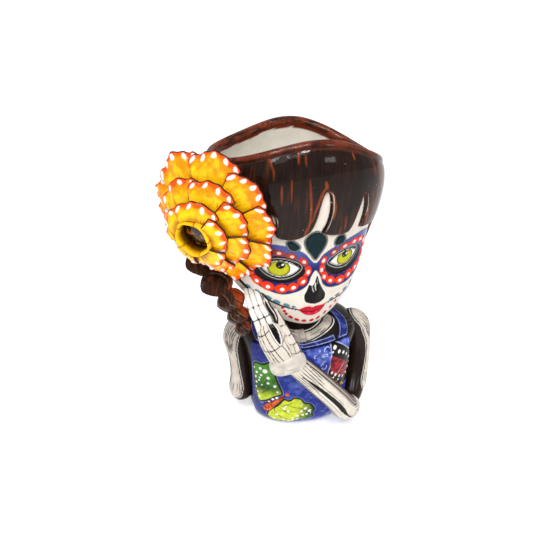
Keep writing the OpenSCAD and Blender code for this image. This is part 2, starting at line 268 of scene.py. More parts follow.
def stroke(points, width, taper=0.0):
    """A brush line; width is one number or one for each point, and taper thins its two ends."""
    p = np.array(points, float)
    w = np.full(len(p), float(width)) if np.isscalar(width) else np.array(width, float)
    p = curve(np.column_stack([p, w]))
    if taper:
        e = np.linspace(0, 1, len(p))
        p[:, 2] *= 1 - taper * (1 - smooth(np.minimum(e, 1 - e) * 4))

    def distance(px, py):
        best = np.full(px.shape, 1e9)
        for (ax, ay, aw), (bx, by, bw) in zip(p, p[1:]):
            far, k = segment(px, py, ax, ay, bx, by)
            best = np.minimum(best, far - (aw + (bw - aw) * k) / 2)
        return best

    return distance, box_of(p, p[:, 2].max() + 3)


def shape(points, sharp=False):
    """A closed form through points."""
    p = np.array(points + points[:1], float) if sharp else curve(points, closed=True)

    def distance(px, py):
        best, inside = np.full(px.shape, 1e9), np.zeros(px.shape, bool)
        for (ax, ay), (bx, by) in zip(p, p[1:]):
            best = np.minimum(best, segment(px, py, ax, ay, bx, by)[0])
            if ay != by:
                inside ^= ((ay > py) != (by > py)) & (px < (bx - ax) * (py - ay) / (by - ay) + ax)
        return np.where(inside, -best, best)

    return distance, box_of(p, 6)


class Canvas:
    """Colour and relief over x and y, in millimetres."""

    def __init__(self, x, y, colour):
        self.form, self.x, self.y = x.shape, x.ravel(), y.ravel()
        self.c = np.empty((x.size, 3))
        self.c[:] = colour.reshape(-1, 3) if np.ndim(colour) > 1 else colour
        self.h = np.zeros(x.size)

    def near(self, form):
        x0, y0, x1, y1 = form[1]
        at = np.flatnonzero((self.x > x0) & (self.x < x1) & (self.y > y0) & (self.y < y1))
        return at, form[0](self.x[at], self.y[at])

    def fill(self, form, colour, rise=0.0, soft=0.35, bevel=1.2, grow=0.0, opacity=1.0):
        at, d = self.near(form)
        d = d - grow
        if colour is not None:
            if callable(colour):
                colour = colour(self.x[at], self.y[at])
            self.c[at] += (colour - self.c[at]) * (opacity * smooth(0.5 - d / soft))[:, None]
        if rise:
            self.h[at] += rise * dome(np.clip(-d / bevel, 0, 1))
        return self

    def outline(self, form, colour, width, grow=0.0, soft=0.35, opacity=1.0):
        at, d = self.near(form)
        m = opacity * smooth(0.5 - (np.abs(d - grow) - width / 2) / soft)
        self.c[at] += (colour - self.c[at]) * m[:, None]
        return self

    def line(self, points, width, colour, taper=0.0, **detail):
        """A brush line."""
        return self.fill(stroke(points, width, taper), colour, **detail)

    def wash(self, colour, share):
        """Tints everything by its share of a colour."""
        self.c[:] = blend(self.c, colour, share)

    def hump(self, x, y, a, b, rise):
        self.h += rise * np.exp(-((self.x - x) / a) ** 2 - ((self.y - y) / b) ** 2)
        return self

    def relief(self):
        return self.h.reshape(self.form)

    def colours(self):
        return self.c.reshape(self.form + (3,))


# ---- Closed meshes ----

def cells(n, m, round_i, round_j):
    i, j = np.arange(n if round_i else n - 1)[:, None], np.arange(m if round_j else m - 1)
    a, b = i * m + j, (i + 1) % n * m + j
    return np.stack([a, b, (i + 1) % n * m + (j + 1) % m, i * m + (j + 1) % m], -1).reshape(-1, 4)


def ring_mesh(p):
    """Points, faces of a tube that closes on itself both ways."""
    return p.reshape(-1, 3), cells(p.shape[0], p.shape[1], True, True)


def slab_mesh(top, bottom, keep=None):
    """Points, faces of a sheet between two grids. keep says which points are part of it."""
    n, m = top.shape[:2]
    f = cells(n, m, False, False)
    if keep is not None:
        f = f[keep.ravel()[f].any(1)]
    edges = np.concatenate([f[:, [k, (k + 1) % 4]] for k in range(4)])
    size = n * m
    rim = edges[~np.isin(edges[:, 0] * size + edges[:, 1], edges[:, 1] * size + edges[:, 0])]
    sides = np.column_stack([rim[:, 1], rim[:, 0], rim[:, 0] + size, rim[:, 1] + size])
    return np.vstack([top.reshape(-1, 3), bottom.reshape(-1, 3)]), np.vstack([f, f[:, ::-1] + size, sides])


def loft_mesh(p):
    """Points, faces of a solid through rings of points, with a point in the middle of each end."""
    n, m = p.shape[:2]
    i = np.arange(m)
    j = (i + 1) % m
    low = np.column_stack([j, i, np.full(m, n * m), np.full(m, n * m)])
    high = np.column_stack([i + (n - 1) * m, j + (n - 1) * m, np.full(m, n * m + 1), np.full(m, n * m + 1)])
    return np.vstack([p.reshape(-1, 3), p[0].mean(0), p[-1].mean(0)]), np.vstack([cells(n, m, False,
                                                                                        True), low, high])


def spread(values, points):
    """Values for every point of a mesh. The two end points of a loft take the values of the first and last
    point, and a grid given once serves both sides of a slab."""
    values = values.reshape(-1, values.shape[-1])
    if len(values) < len(points):
        extra = len(points) - len(values)
        values = np.vstack([values, values[:1], values[-1:]]) if extra == 2 else np.vstack([values, values])
    return values


def piece(name, solid, nodes, material, colours, grain=None, crease=60):
    """Makes a shown piece from points in millimetres, and lets it stand for CAD nodes."""
    points, faces = solid
    colours = spread(colours, points)
    grain = points if grain is None else spread(grain, points)
    used, back = np.unique(faces, return_inverse=True)
    faces = back.reshape(faces.shape)
    points, colours, grain = points[used], colours[used], grain[used]
    a, b, c, d = (points[faces[:, k]] for k in range(4))
    volume = (a * np.cross(b, c)).sum() + (a * np.cross(c, d)).sum()
    if volume < 0:
        faces = faces[:, ::-1]
    mesh = bpy.data.meshes.new(name)
    mesh.from_pydata((points / 1000).tolist(), [], [list(dict.fromkeys(f)) for f in faces.tolist()])
    mesh.validate()
    for key, kind, data in (("paint", "FLOAT_COLOR", np.column_stack([colours, np.ones(len(colours))])),
                            ("grain", "FLOAT_VECTOR", grain)):
        mesh.attributes.new(key, kind, "POINT").data.foreach_set(
            "color" if kind == "FLOAT_COLOR" else "vector", np.clip(data, -9999,
                                                                    9999).astype(np.float32).ravel())
    mesh.shade_smooth()
    mesh.set_sharp_from_angle(angle=math.radians(crease))
    mesh.materials.append(material)
    made = bpy.data.objects.new(name, mesh)
    bpy.context.scene.collection.objects.link(made)
    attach(made, "root")
    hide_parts(*nodes)
    return made


# ---- Materials ----

def glaze(name, mottle=0.12, size=0.09, fine=0.6, rough=(0.1, 0.24), bump=0.25, coat=0.14, pits=0.0,
          streak=0.0, speck=None):
    """Painted glaze: colour from the brushwork, pooled and thinned by noise, under a clear glossy coat.
    size and fine are noise scales per millimetre."""
    made = bpy.data.materials.new(name)
    made.use_nodes = True
    nodes, links = made.node_tree.nodes, made.node_tree.links
    nodes.clear()
    out, shader = nodes.new("ShaderNodeOutputMaterial"), nodes.new("ShaderNodeBsdfPrincipled")
    links.new(shader.outputs[0], out.inputs["Surface"])

    def attribute(key):
        node = nodes.new("ShaderNodeAttribute")
        node.attribute_name = key
        return node

    def noise(vector, scale, detail=3.0):
        node = nodes.new("ShaderNodeTexNoise")
        node.inputs["Scale"].default_value = scale
        node.inputs["Detail"].default_value = detail
        links.new(vector, node.inputs["Vector"])
        return node.outputs["Fac"]

    def ranged(value, low, high, to_low, to_high):
        node = nodes.new("ShaderNodeMapRange")
        for k, v in zip(("From Min", "From Max", "To Min", "To Max"), (low, high, to_low, to_high)):
            node.inputs[k].default_value = v
        links.new(value, node.inputs["Value"])
        return node.outputs["Result"]

    def mixed(kind, a, b, share=1.0):
        node = nodes.new("ShaderNodeMix")
        node.data_type, node.blend_type = "RGBA", kind
        for key, kind, v in (("Factor", "VALUE", share), ("A", "RGBA", a), ("B", "RGBA", b)):
            socket = next(s for s in node.inputs if s.name == key and s.type == kind)
            if isinstance(v, (float, tuple)):
                socket.default_value = v
            else:
                links.new(v, socket)
        return next(s for s in node.outputs if s.type == "RGBA")

    grain = attribute("grain").outputs["Vector"]
    colour = attribute("paint").outputs["Color"]
    pooled = ranged(noise(grain, size), 0.3, 0.7, 1 - mottle, 1 + mottle)
    colour = mixed("MULTIPLY", colour, pooled)
    if streak:
        stretched = nodes.new("ShaderNodeMapping")
        stretched.inputs["Scale"].default_value = (1.0, 0.07, 0.07)
        links.new(grain, stretched.inputs["Vector"])
        lines = ranged(noise(stretched.outputs["Vector"], 0.55, 4.0), 0.35, 0.75, 1 - streak, 1 + streak)
        colour = mixed("MULTIPLY", colour, lines)
    small = noise(grain, fine, 4.0)
    colour = mixed("MULTIPLY", colour, ranged(small, 0.3, 0.7, 1 - mottle * 0.45, 1 + mottle * 0.45))
    height = small
    if pits or speck:
        dots = nodes.new("ShaderNodeTexVoronoi")
        dots.inputs["Scale"].default_value = 0.075 if speck is None else 0.11
        links.new(grain, dots.inputs["Vector"])
        dot = ranged(dots.outputs["Distance"], 0.035, 0.06, 1.0, 0.0)
        if speck is not None:
            colour = mixed("MIX", colour, (*speck, 1.0), dot)
        if pits:
            sunk = nodes.new("ShaderNodeMath")
            sunk.operation = "MULTIPLY_ADD"
            sunk.inputs[1].default_value = -pits
            links.new(dot, sunk.inputs[0])
            links.new(small, sunk.inputs[2])
            height = sunk.outputs[0]
    links.new(colour, shader.inputs["Base Color"])
    links.new(ranged(noise(grain, fine * 0.4), 0.3, 0.7, *rough), shader.inputs["Roughness"])
    raised = nodes.new("ShaderNodeBump")
    raised.inputs["Strength"].default_value = bump
    raised.inputs["Distance"].default_value = 0.0006
    links.new(height, raised.inputs["Height"])
    links.new(raised.outputs["Normal"], shader.inputs["Normal"])
    shader.inputs["Specular IOR Level"].default_value = 0.06
    shader.inputs["Coat Weight"].default_value = coat
    shader.inputs["Coat Roughness"].default_value = 0.05
    return made


GLAZE = {"face": glaze("face_glaze", mottle=0.05, rough=(0.16, 0.3), bump=0.18, coat=0.07),
         "hair": glaze("hair_glaze", mottle=0.3, size=0.05, rough=(0.05, 0.13), bump=0.12, coat=0.22,
                       pits=2.0, streak=0.35, speck=(0.25, 0.2, 0.16)),
         "black": glaze("black_glaze", mottle=0.3, rough=(0.1, 0.26), bump=0.3, coat=0.12),
         "blue": glaze("blue_glaze", mottle=0.24, size=0.16, fine=0.5, rough=(0.1, 0.22), bump=0.4),
         "navy": glaze("navy_glaze", mottle=0.3, size=0.2, rough=(0.1, 0.22), bump=0.4),
         "bone": glaze("bone_glaze", mottle=0.08, size=0.12, rough=(0.16, 0.32), bump=0.3),
         "petal": glaze("petal_glaze", mottle=0.1, size=0.12, fine=0.35, rough=(0.12, 0.26), bump=0.3),
         "eye": glaze("eye_glaze", mottle=0.5, size=0.3, fine=0.9, rough=(0.04, 0.12), bump=0.6,
                      coat=0.8), "braid": glaze("braid_glaze", mottle=0.3, size=0.12, rough=(0.14, 0.3),
                                                bump=0.35, coat=0.2),}


# ---- Head: painted sugar-skull face ----

MM_PER_DEGREE = 78 * math.pi / 180
MM_PER_SHARE = 170
BEHIND = 92


def modelling(c):
    """Brow, cheeks, nose and chin of the head itself."""
    c.hump(4, 45, 9, 15, 4.0).hump(4, 62, 5, 14, 1.8).hump(-36, 88, 26, 9, 1.6).hump(36, 94, 24, 9, 1.6)
    c.hump(-36, 66, 24, 15, -1.6).hump(38, 72, 23, 15, -1.6).hump(4, 4, 17, 10, 1.8)
    c.hump(-38, 34, 24, 12, 1.5).hump(40, 38, 20, 12, 1.5)


def eye_mask(c):
    """Blue mask around the eyes."""
    mask = shape([
        (-74, 84), (-60, 91), (-46, 95), (-28, 93), (-13, 86), (0, 74), (9, 83), (21, 91), (36, 98),
        (58, 102), (77, 98), (86, 86), (84, 66), (74, 56), (60, 49), (36, 44), (20, 44), (11, 50),
        (8, 57), (5, 62), (1, 66), (-3, 59), (-6, 50), (-14, 43), (-30, 39), (-44, 41), (-58, 46),
        (-70, 56), (-78, 68)])
    upper = lambda x, y: blend(NAVY, PERIWINKLE, smooth((y - 66 - 0.1 * x) / 10) * (0.55 + 0.45 * smooth(
        (np.abs(x - 2) - 8) / 14)) + 0.35 * smooth((50 - y) / 6) * cloud(x / 4, y / 4, 5))
    c.fill(mask, upper, rise=0.35)
    c.outline(mask, LINE, 0.5, grow=0.1, opacity=0.45)


def sockets(c):
    """Eye sockets in a ring of small orange petals."""
    left = shape([(-62, 60), (-61, 68), (-56, 76), (-47, 81), (-35, 82), (-22, 78), (-13, 72), (-10, 64),
                  (-16, 57), (-28, 52), (-42, 52), (-55, 54)])
    right = shape([(13, 68), (17, 76), (26, 82), (37, 86.5), (50, 88), (60, 84), (64, 76), (61, 69),
                   (53, 63), (43, 59), (29, 57), (18, 61)])
    petals = [
        (-67, 60, 5, 4, -60), (-60, 52, 6, 4.2, -35), (-48, 47, 6.4, 4.3, -12),
        (-33.5, 45.4, 6.4, 4.3, 3), (-22, 47.6, 5.4, 4, 18), (-12, 54, 4.8, 4.4, 48),
        (-7.5, 65, 5.2, 4, 80), (-13, 76, 5.4, 3.6, 138), (-26, 82.5, 5.8, 3.4, 162),
        (-39, 86, 6.2, 3.3, 174), (-52, 85, 6.2, 3.6, 16), (-63, 78, 5.6, 3.6, 48),
        (-67, 70, 4.6, 3.6, 80), (10, 76, 4.4, 3.2, 68), (8.4, 67, 4.6, 3.4, 92),
        (12.5, 58.5, 5, 3.6, 128), (21, 52.5, 5.4, 4, 158), (34, 50.5, 6, 4.1, 4), (47, 54, 5.6, 4, 20),
        (59, 59, 5.6, 3.8, 32), (69, 67, 5, 3.8, 56), (70, 78, 4.8, 3.6, 90), (66, 88, 5, 3.6, 130),
        (56, 93, 5.4, 3.4, 164), (45, 93, 5.4, 3.3, 10), (33, 90, 5.6, 3.2, 24), (21, 84.5, 5.2, 3.1, 36)]
    for x, y, a, b, turn in petals:
        dull = smooth((y - 72 - 0.12 * x) / 9) * smooth((40 - x) / 14)
        tone = blend(RED_ORANGE, rgb(140, 54, 42), dull)
        c.fill(disc(x, y, a * 1.16, b * 1.12, turn), tone, rise=0.9, bevel=2.2)
        c.outline(disc(x, y, a * 1.16, b * 1.12, turn), rgb(70, 20, 30), 0.5, opacity=0.7)
        inward = (0.7 if x < 0 else -0.7, -0.5 if y < 68 else 0.2)
        c.fill(disc(x + inward[0], y + inward[1], 2.3, 1.7, turn), blend(WHITE, rgb(222, 170, 158), dull),
               rise=0.5, bevel=1)
    for socket in (left, right):
        c.fill(socket, BLACK, rise=-0.7, bevel=2.5)
        c.outline(socket, rgb(120, 112, 110), 0.35, grow=0.6, opacity=0.4)


def eyes(c):
    """Whites, irises, pupils and lids."""
    for lid, white, iris, pupil, tilt in (
            ([(-57, 68), (-49, 74), (-38, 77.5), (-26, 75.5), (-15, 68.5)],
             [(-56, 68.5), (-48, 73.5), (-38, 76.6), (-26, 74.5), (-16, 69), (-24, 61), (-36, 58),
              (-48, 61)], (-37.5, 67.5, 12, 9.3), (-36, 71.5, 4.8, 4.2), 0),
            ([(17, 72.5), (24, 79), (34, 83.5), (45, 84.5), (55, 81)],
             [(18, 73), (24, 78), (34, 82.5), (44, 83.5), (54, 81), (51, 73), (43, 67), (32, 66.5),
              (24, 69)], (38, 75, 11.4, 8.6), (37, 78.8, 4.2, 3.8), 8)):
        almond = shape(white)
        c.fill(almond, WHITE, rise=1.0, bevel=5, soft=0.3)
        inner = shape([(x + (iris[0] - x) * 0.08, y + (iris[1] + 1 - y) * 0.12) for x, y in white])
        c.outline(almond, BLACK, 0.8, grow=-0.9, opacity=0.85).outline(almond, WHITE, 0.6, grow=2.7,
                                                                       soft=0.7, opacity=0.6)
        at, d = c.near(disc(*iris, tilt))
        inside = smooth(0.5 - d / 0.4) * smooth(0.5 - (inner[0](c.x[at], c.y[at])) / 0.4)
        k = np.clip(-d / 8, 0, 1)
        spokes = cloud(np.arctan2(c.y[at] - iris[1], c.x[at] - iris[0]) * 9 + 30, k * 3 + 5, 3)
        tone = blend(rgb(88, 94, 10), rgb(178, 178, 26), smooth(k * 2.2) * (0.65 + 0.5 * spokes))
        tone = blend(tone, rgb(34, 34, 12), smooth((0.9 + d) / 0.7))
        c.c[at] += (tone - c.c[at]) * inside[:, None]
        c.fill(disc(*pupil), BLACK)
        # painted highlights: a white spot and a smaller one on each pupil
        c.fill(disc(pupil[0] + 2.2, pupil[1] + 0.6, 1.5, 1.0, 30), WHITE, soft=0.3)
        c.fill(disc(pupil[0] - 1.5, pupil[1] - 1.5, 0.5), WHITE, soft=0.3, opacity=0.6)
        c.line(lid, 1.7, BLACK, taper=0.5, rise=0.5)
        c.line([(x, y + 2.1) for x, y in lid[1:4]], 0.4, rgb(150, 146, 140), taper=0.8, opacity=0.5)


def stones(c):
    """Stones on the forehead."""
    stone = rgb(6, 26, 29)
    for form in (shape([(-3, 109), (5, 106), (9.5, 99), (8, 91), (4, 84), (0, 78.5), (-5, 84), (-10, 90),
                        (-13, 98), (-10, 105)]), shape([(-31, 97.5), (-26, 99), (-20, 95), (-18.5, 91.5),
                                                        (-23, 89), (-28, 91)]),
                 shape([(20, 97), (23, 102), (28, 103), (31, 99), (30, 95), (25, 92.5), (21, 93)])):
        c.fill(form, rgb(120, 122, 120), grow=1.3)
        c.outline(form, LINE, 0.6, grow=1.5)
        c.fill(form, lambda x, y: blend(stone, rgb(10, 44, 48), 0.5 * cloud(x / 3, y / 3, 8)), rise=1.3,
               bevel=3)
        c.outline(form, LINE, 0.5)


def nose_heart(c):
    """Nose: an upturned black heart with a split top."""
    nose = shape([(2.5, 60), (0.4, 52), (-1.8, 49), (-4.5, 50), (-6.5, 43), (-8.5, 37), (-7, 30),
                  (-2, 27.5), (5, 26.5), (12, 28), (16.5, 32), (16, 38), (11, 45), (6.5, 52), (4, 59)])
    c.fill(nose, WHITE, grow=0.7)
    c.fill(nose, BLACK, rise=0.5, bevel=2)
    c.line([(1.6, 53), (1.4, 49), (2.4, 44)], [0.5, 0.9, 0.3], WHITE)
    c.line([(-1.4, 48), (-0.8, 45), (0.6, 42)], [0.4, 0.6, 0.3], WHITE)
    c.line([(3.4, 57), (3.2, 52)], [0.4, 0.7], rgb(150, 150, 150), opacity=0.8)


def smile_line(c):
    """Smile line with teal drops and teeth marks."""
    for x, y, r in ((-70, 41, 3.4), (-59, 38, 3.4), (-46.5, 33.6, 3.8), (-37.5, 29.6, 4), (-27, 26, 3.6),
                    (-19, 24, 2.2), (26, 28.8, 2.4), (34, 32, 3.2), (45, 36.4, 3.8), (56, 41, 3.6)):
        c.fill(disc(x, y, r, r * 0.55, -20 if x < 0 else 20), TEAL, rise=0.3)
        c.outline(disc(x, y, r, r * 0.55, -20 if x < 0 else 20), rgb(44, 60, 70), 0.4, opacity=0.6)
    smile = [(-86, 47), (-72, 38.5), (-58, 34.5), (-45, 30), (-31, 24.6), (-17, 21), (-11, 19.6)]
    c.line(smile, [5.2, 4.6, 3.4, 2.3, 1.6, 1.2, 1], rgb(58, 46, 42))
    c.line([(x, y - 0.3) for x, y in smile], [2.6, 2.4, 2.1, 1.9, 1.7, 1.4, 1.2], LINE)
    grin = [(17, 23.5), (24, 26), (33, 28.5), (47, 33.5), (60, 38.5), (74, 46)]
    c.line(grin, [1.1, 1.4, 1.8, 2.2, 2.8, 3.4], LINE)
    for x, y in ((-20, 21.8), (-16.5, 20.8), (24, 26), (28.5, 27.2), (-24, 22.6)):
        c.line([(x - 0.5, y - 2.2), (x + 0.5, y + 2.2)], 0.55, LINE)


def lips(c):
    """Lips."""
    upper_lip = shape([(-13.5, 19.8), (-6, 23.4), (-1, 24), (2.4, 22.6), (7, 24), (13, 24.2),
                       (19.5, 24.6), (12, 19.4), (2, 17.2), (-7, 17.8)])
    lower_lip = shape([(-12, 19), (-7, 18), (2, 17.4), (12, 19.4), (18, 23.4), (13.4, 16.4), (7, 13.4),
                       (1, 12.8), (-6, 14.6)])
    # painted highlights: paler crimson patches over the lower lip
    lip_highlights = lambda x, y: blend(
        CRIMSON, rgb(226, 70, 84), 0.75 * smooth(cloud(x / 1.8 + 3, y / 3.2, 4, 2) * 2.6 - 1.3))
    c.fill(upper_lip, CRIMSON, rise=1.5, bevel=3).fill(lower_lip, lip_highlights, rise=1.9, bevel=3.4)
    c.line([(-14, 20), (-7, 18.2), (2, 17.2), (11, 19.2), (18, 23.6)], 0.8, rgb(92, 10, 26), taper=0.5,
           rise=-0.8)


def chin_dashes(c):
    """Red dashes around the chin."""
    for x, y, a, turn in (
            (-31, 22.5, 1.6, 20), (-28.6, 18, 1.9, -54), (-26.4, 14.6, 2, -50), (-21, 10.4, 3.3, -34),
            (-13.6, 7.4, 3.3, -20), (-5, 6.2, 2.9, -6), (4, 6.4, 3, 10), (12, 8, 3, 24),
            (21, 12.6, 2.7, 44), (28, 18, 2.4, 54), (33.6, 24, 2.2, 54), (38.6, 30, 1.8, 46)):
        c.fill(disc(x, y, a, 1.8, turn), rgb(170, 8, 28), rise=0.4)


def skull_face(c):
    """Paints and models the face. x is measured around the head from its middle, y up from the chin."""
    # painted shade: the face gets darker towards the chin
    c.c[:] = blend(BONE, BONE_MOTTLE_AND_SHADE, 0.35 * smooth((34 - c.y) / 40))
    for part in (modelling, eye_mask, sockets, eyes, stones, nose_heart, smile_line, lips, chin_dashes):
        part(c)


# the part of the head that the hair leaves bare
BARE = shape([
    (-130, 40), (-112, 84), (-90, 100), (-70, 106), (-52, 112), (-47, 121), (-44.5, 127), (-42.5, 119),
    (-43, 108), (-40, 102.5), (-31, 101), (-22, 102), (-13, 107), (-8, 113), (-4.5, 124), (-2, 137),
    (0.5, 147), (3.6, 151), (6.6, 146), (7.4, 132), (5.4, 118), (2.6, 110.5), (8, 106), (18, 104.6),
    (30, 106), (35, 112), (38.4, 125), (42, 137), (44.4, 145), (46.6, 138), (47.6, 126), (47, 112),
    (49, 108.6), (60, 108), (74, 108), (92, 102), (112, 84), (130, 40), (0, -40)])


def hair_edge(q):
    """Share of the way up the head where the hair starts, at angle q."""
    back = (q + 25) % 360
    return 0.655 - 0.42 * np.sin(math.pi * np.clip(back / 230, 0, 1)) ** 0.7


def hair_depth(q, t, x, y):
    """How far a point is inside the hair, in millimetres."""
    front = BARE[0](x, y)
    return blend(front[..., None], ((t - hair_edge(q)) * MM_PER_SHARE)[..., None],
                 smooth((np.abs(x) - 72) / 16))[..., 0]


def hair_colours(x, y, depth, t):
    """Dark glaze that thins to amber in streaks and along the edges."""
    flow = cloud(x / 3.2 + 0.6 * cloud(x / 20, y / 30, 2), y / 42,
                 11) * 0.65 + cloud(x / 1.3, y / 26, 12) * 0.35
    blot = cloud(x / 17, y / 24, 13)
    tone = blend(HAIR, BROWN, smooth((flow - 0.46) * 3.2) * (0.15 + 0.9 * smooth((blot - 0.42) * 3)))
    tone = blend(tone, AMBER, 0.75 * smooth((flow - 0.6) * 7) * smooth((blot - 0.38) * 4)
                 * smooth((135 - y) / 40))
    tone = blend(tone, rgb(96, 40, 20), 0.8 * smooth((3.4 - depth) / 3.4))
    tone = blend(tone, rgb(104, 46, 24), 0.9 * smooth((t - 0.965) / 0.03))
    tone = blend(tone, rgb(112, 52, 18), 0.8 * smooth((cloud(x / 7, y / 26, 15) - 0.42) * 4)
                 * smooth((x - 48) / 16))
    side = smooth((np.abs(x) - 70) / 24)
    return blend(tone, rgb(92, 46, 20), side * (0.25 + 0.5 * cloud(x / 6, y / 30, 14)))


# amber brush streaks in the hair: points and width
STREAKS = [
    ([(-54, 181), (-51, 178), (-47, 170), (-46, 162)], 1.8), ([(-39, 157), (-38, 139)], 1.7),
    ([(-27, 190), (-26, 178)], 2.2), ([(-20, 186), (-19, 176)], 1.8), ([(-31, 163), (-30, 141)], 1.3),
    ([(-15, 163), (-13, 146), (-12, 130), (-13, 112)], 2.3), ([(1, 158), (-4, 146), (-8, 132)], 2.6),
    ([(0, 162), (2, 155)], 3.4), ([(7, 151), (11, 138), (11, 124)], 2.6), ([(-11, 124), (-16, 108)], 2.2),
    ([(-52, 116), (-47, 124)], 4.2), ([(52, 134), (51, 118), (56, 112)], 2.4),
    ([(38, 124), (41, 136)], 1.6), ([(64, 150), (62, 126)], 2), ([(24, 126), (25, 112)], 1.6),
    ([(-62, 128), (-60, 112)], 2.6), ([(30, 187), (31, 180)], 2.2), ([(-8, 134), (-10, 122)], 1.6)]


def head_shell():
    """Face and back of the head, painted outside and cream inside."""
    angles = np.concatenate([np.arange(196, 344, 0.45), np.arange(344, 556, 3.0)])
    shares = np.concatenate(
        [np.linspace(0, 0.15, 8)[:-1], np.arange(0.15, 0.78, 0.0028), np.linspace(0.78, 1, 16)])
    q, t = grid(angles, shares)
    x, z = (q - 270) * MM_PER_DEGREE, head_point(q, t)[..., 2]
    c = Canvas(x, np.where(t < 0.19, -60, z), BONE)
    skull_face(c)
    shadow = BARE[0](c.x, c.y)
    c.wash(rgb(120, 98, 84), 0.35 * smooth((1.6 + shadow) / 1.6) * (c.y > 95))
    gap_lines(c)
    back = smooth((np.abs(x) - BEHIND) / 12) * smooth((t - hair_edge(q) + 0.05) / 0.05)
    colours = blend(c.colours(), HAIR, back)
    outer = lifted(head_point, q, t, c.relief() * smooth((t - 0.16) / 0.04)
                   * smooth((104 - np.abs(x)) / 12))
    qi, ti = grid(angles, np.linspace(1, 0, 90))
    inner = lifted(head_point, qi, ti, np.full(qi.shape, -WALL))
    inner[:, 0, 2] = head_point(angles, np.ones(len(angles)))[:, 2]
    xi = np.radians(qi) * 70
    run = 0.952 + 0.03 * cloud(xi / 16 + 7, ti * 0, 21) + 0.01 * cloud(xi / 3, ti * 0, 22)
    # painted shade: the inside gets darker further down the bowl, over random mottle
    cream = blend(rgb(222, 217, 206), rgb(188, 180, 166),
                  0.5 * smooth((0.6 - ti) / 0.5) + 0.15 * cloud(xi / 9, ti * 20))
    inside = blend(cream, rgb(96, 38, 20), smooth((ti - run) / 0.006))
    piece("head_shell_painted", ring_mesh(head_to_world(np.concatenate([outer, inner], 1))), ["head_shell"],
          GLAZE["face"], np.concatenate([colours, inside], 1),
          np.concatenate([flat(x, z), np.stack([xi, ti * 160, 0 * xi + 50], -1)], 1))


def hair_sheets():
    """The fringe and the sweep at the back, each a raised sheet with locks cut into its edge."""
    for name, node, angles in (("hair_fringe_locks", "hair_fringe", np.linspace(205.3, 334.7, 330)),
                               ("hair_back_sweep", "hair_back", np.linspace(-25.3, 205.3, 230))):
        low = 0.63 if node == "hair_fringe" else 0.2
        q, t = grid(angles, np.linspace(low, 1, 170))
        x, z = (q - 270) * MM_PER_DEGREE, head_point(q, t)[..., 2]
        if node == "hair_back":
            x = np.where(q > 90, x, x + 360 * MM_PER_DEGREE)
        behind = np.abs(x) > BEHIND
        y = np.where(behind, 0, z)
        depth = np.where(behind, (t - hair_edge(q)) * MM_PER_SHARE, hair_depth(q, t, x, y))
        c = Canvas(x, z, hair_colours(x, z, depth, t))
        for points, width in STREAKS:
            c.line(points, width, AMBER, taper=0.6, soft=1.3, opacity=0.75)
        gap_lines(c)
        comb = 0.1 * (cloud(x / 2.6, z / 60, 31, 2) - 0.5) + 0.6 * (cloud(x / 16, z / 90, 32, 2) - 0.5)
        k = np.clip(depth / 2.6, 0, 1)
        rise = -0.8 + (HAIR_T + 0.5) * dome(k) + comb * k
        crown = smooth((t - 0.96) / 0.04)
        rise = rise * (1 - crown) + (HAIR_T - 0.3) * crown
        top = lifted(head_point, q, t, rise)
        bottom = lifted(head_point, q, t, np.minimum(rise - 0.4, GAP - 0.9 * (1 - k)))
        top[:, -1, 2] = bottom[:, -1, 2] = head_point(q[:, -1], t[:, -1])[:, 2]
        piece(name, slab_mesh(head_to_world(top), head_to_world(bottom), keep=depth > -0.3), [node],
              GLAZE["hair"], c.colours(), flat(x, z), crease=80)


def rolled_lip():
    """Rolled lip on the edges of the shell and the hair."""
    angles = np.arange(0, 360, 1.0)
    ones = np.ones(len(angles))
    edge = head_point(angles, ones)
    a, b = lifted(head_point, angles, ones, -WALL * ones), lifted(head_point, angles, ones, HAIR_T * ones)
    a[:, 2] = b[:, 2] = edge[:, 2]
    s = np.radians(np.linspace(-14, 194, 24))
    wave = 1 + 0.05 * (cloud(angles / 11, angles * 0, 41) - 0.5)
    centre, half = (a + b) / 2, (b - a) / 2 * 1.12 * wave[:, None]
    p = centre[:, None] + half[:, None] * np.cos(s)[:, None]
    p[..., 2] += GAP + LIP_R * 1.5 * np.clip(np.sin(s), -0.02, 1) * wave[:, None]
    aq, sq = grid(angles, s)
    tone = blend(rgb(104, 44, 24), rgb(52, 24, 15), smooth((cloud(aq / 9, sq * 1.4, 42) - 0.4) * 4))
    tone = blend(tone, HAIR, 0.7 * smooth((0.9 - sq) / 0.8))
    piece("rolled_lip", ring_mesh(head_to_world(p)), ["rim_lip"], GLAZE["hair"], tone,
          np.stack([aq * 1.6, sq * 8, 0 * sq], -1))


def gap_lines(c):
    """The black and white brush lines on the right of each gap in the fringe."""
    for points, width in (
            ([(3, 151.5), (7, 147), (8.2, 132), (6, 118), (3.4, 111), (3, 107)], 1.5),
            ([(-45.5, 127), (-42.6, 124), (-41.4, 117), (-42.6, 107)], 1.3),
            ([(46.4, 145), (48, 134), (47.6, 122), (46.4, 109)], 1.3)):
        c.line(points, width, BLACK, taper=0.3, soft=0.4)
        c.line([(x + 1.5, y + 0.2) for x, y in points[:-1]], 0.55, rgb(200, 186, 172), taper=0.7,
               soft=0.4, opacity=0.8)


head_shell()
hair_sheets()
rolled_lip()


# ---- Bust, bib and straps ----

BUST_MM = 65 * math.pi / 180


def bone_mark(c, form, hatch=()):
    """A bone painted on black: cream with a white line outside its dark outline."""
    c.fill(form, WHITE, grow=1.9, soft=0.4).fill(form, BLACK, grow=1.2)
    c.fill(form, lambda x, y: blend(BONE, BONE_MOTTLE_AND_SHADE, 0.7 * cloud(x / 5, y / 7, 51)), rise=1.0, bevel=3)
    for points, width in hatch:
        c.line(points, width, LINE, taper=0.8, soft=0.3, opacity=0.85)


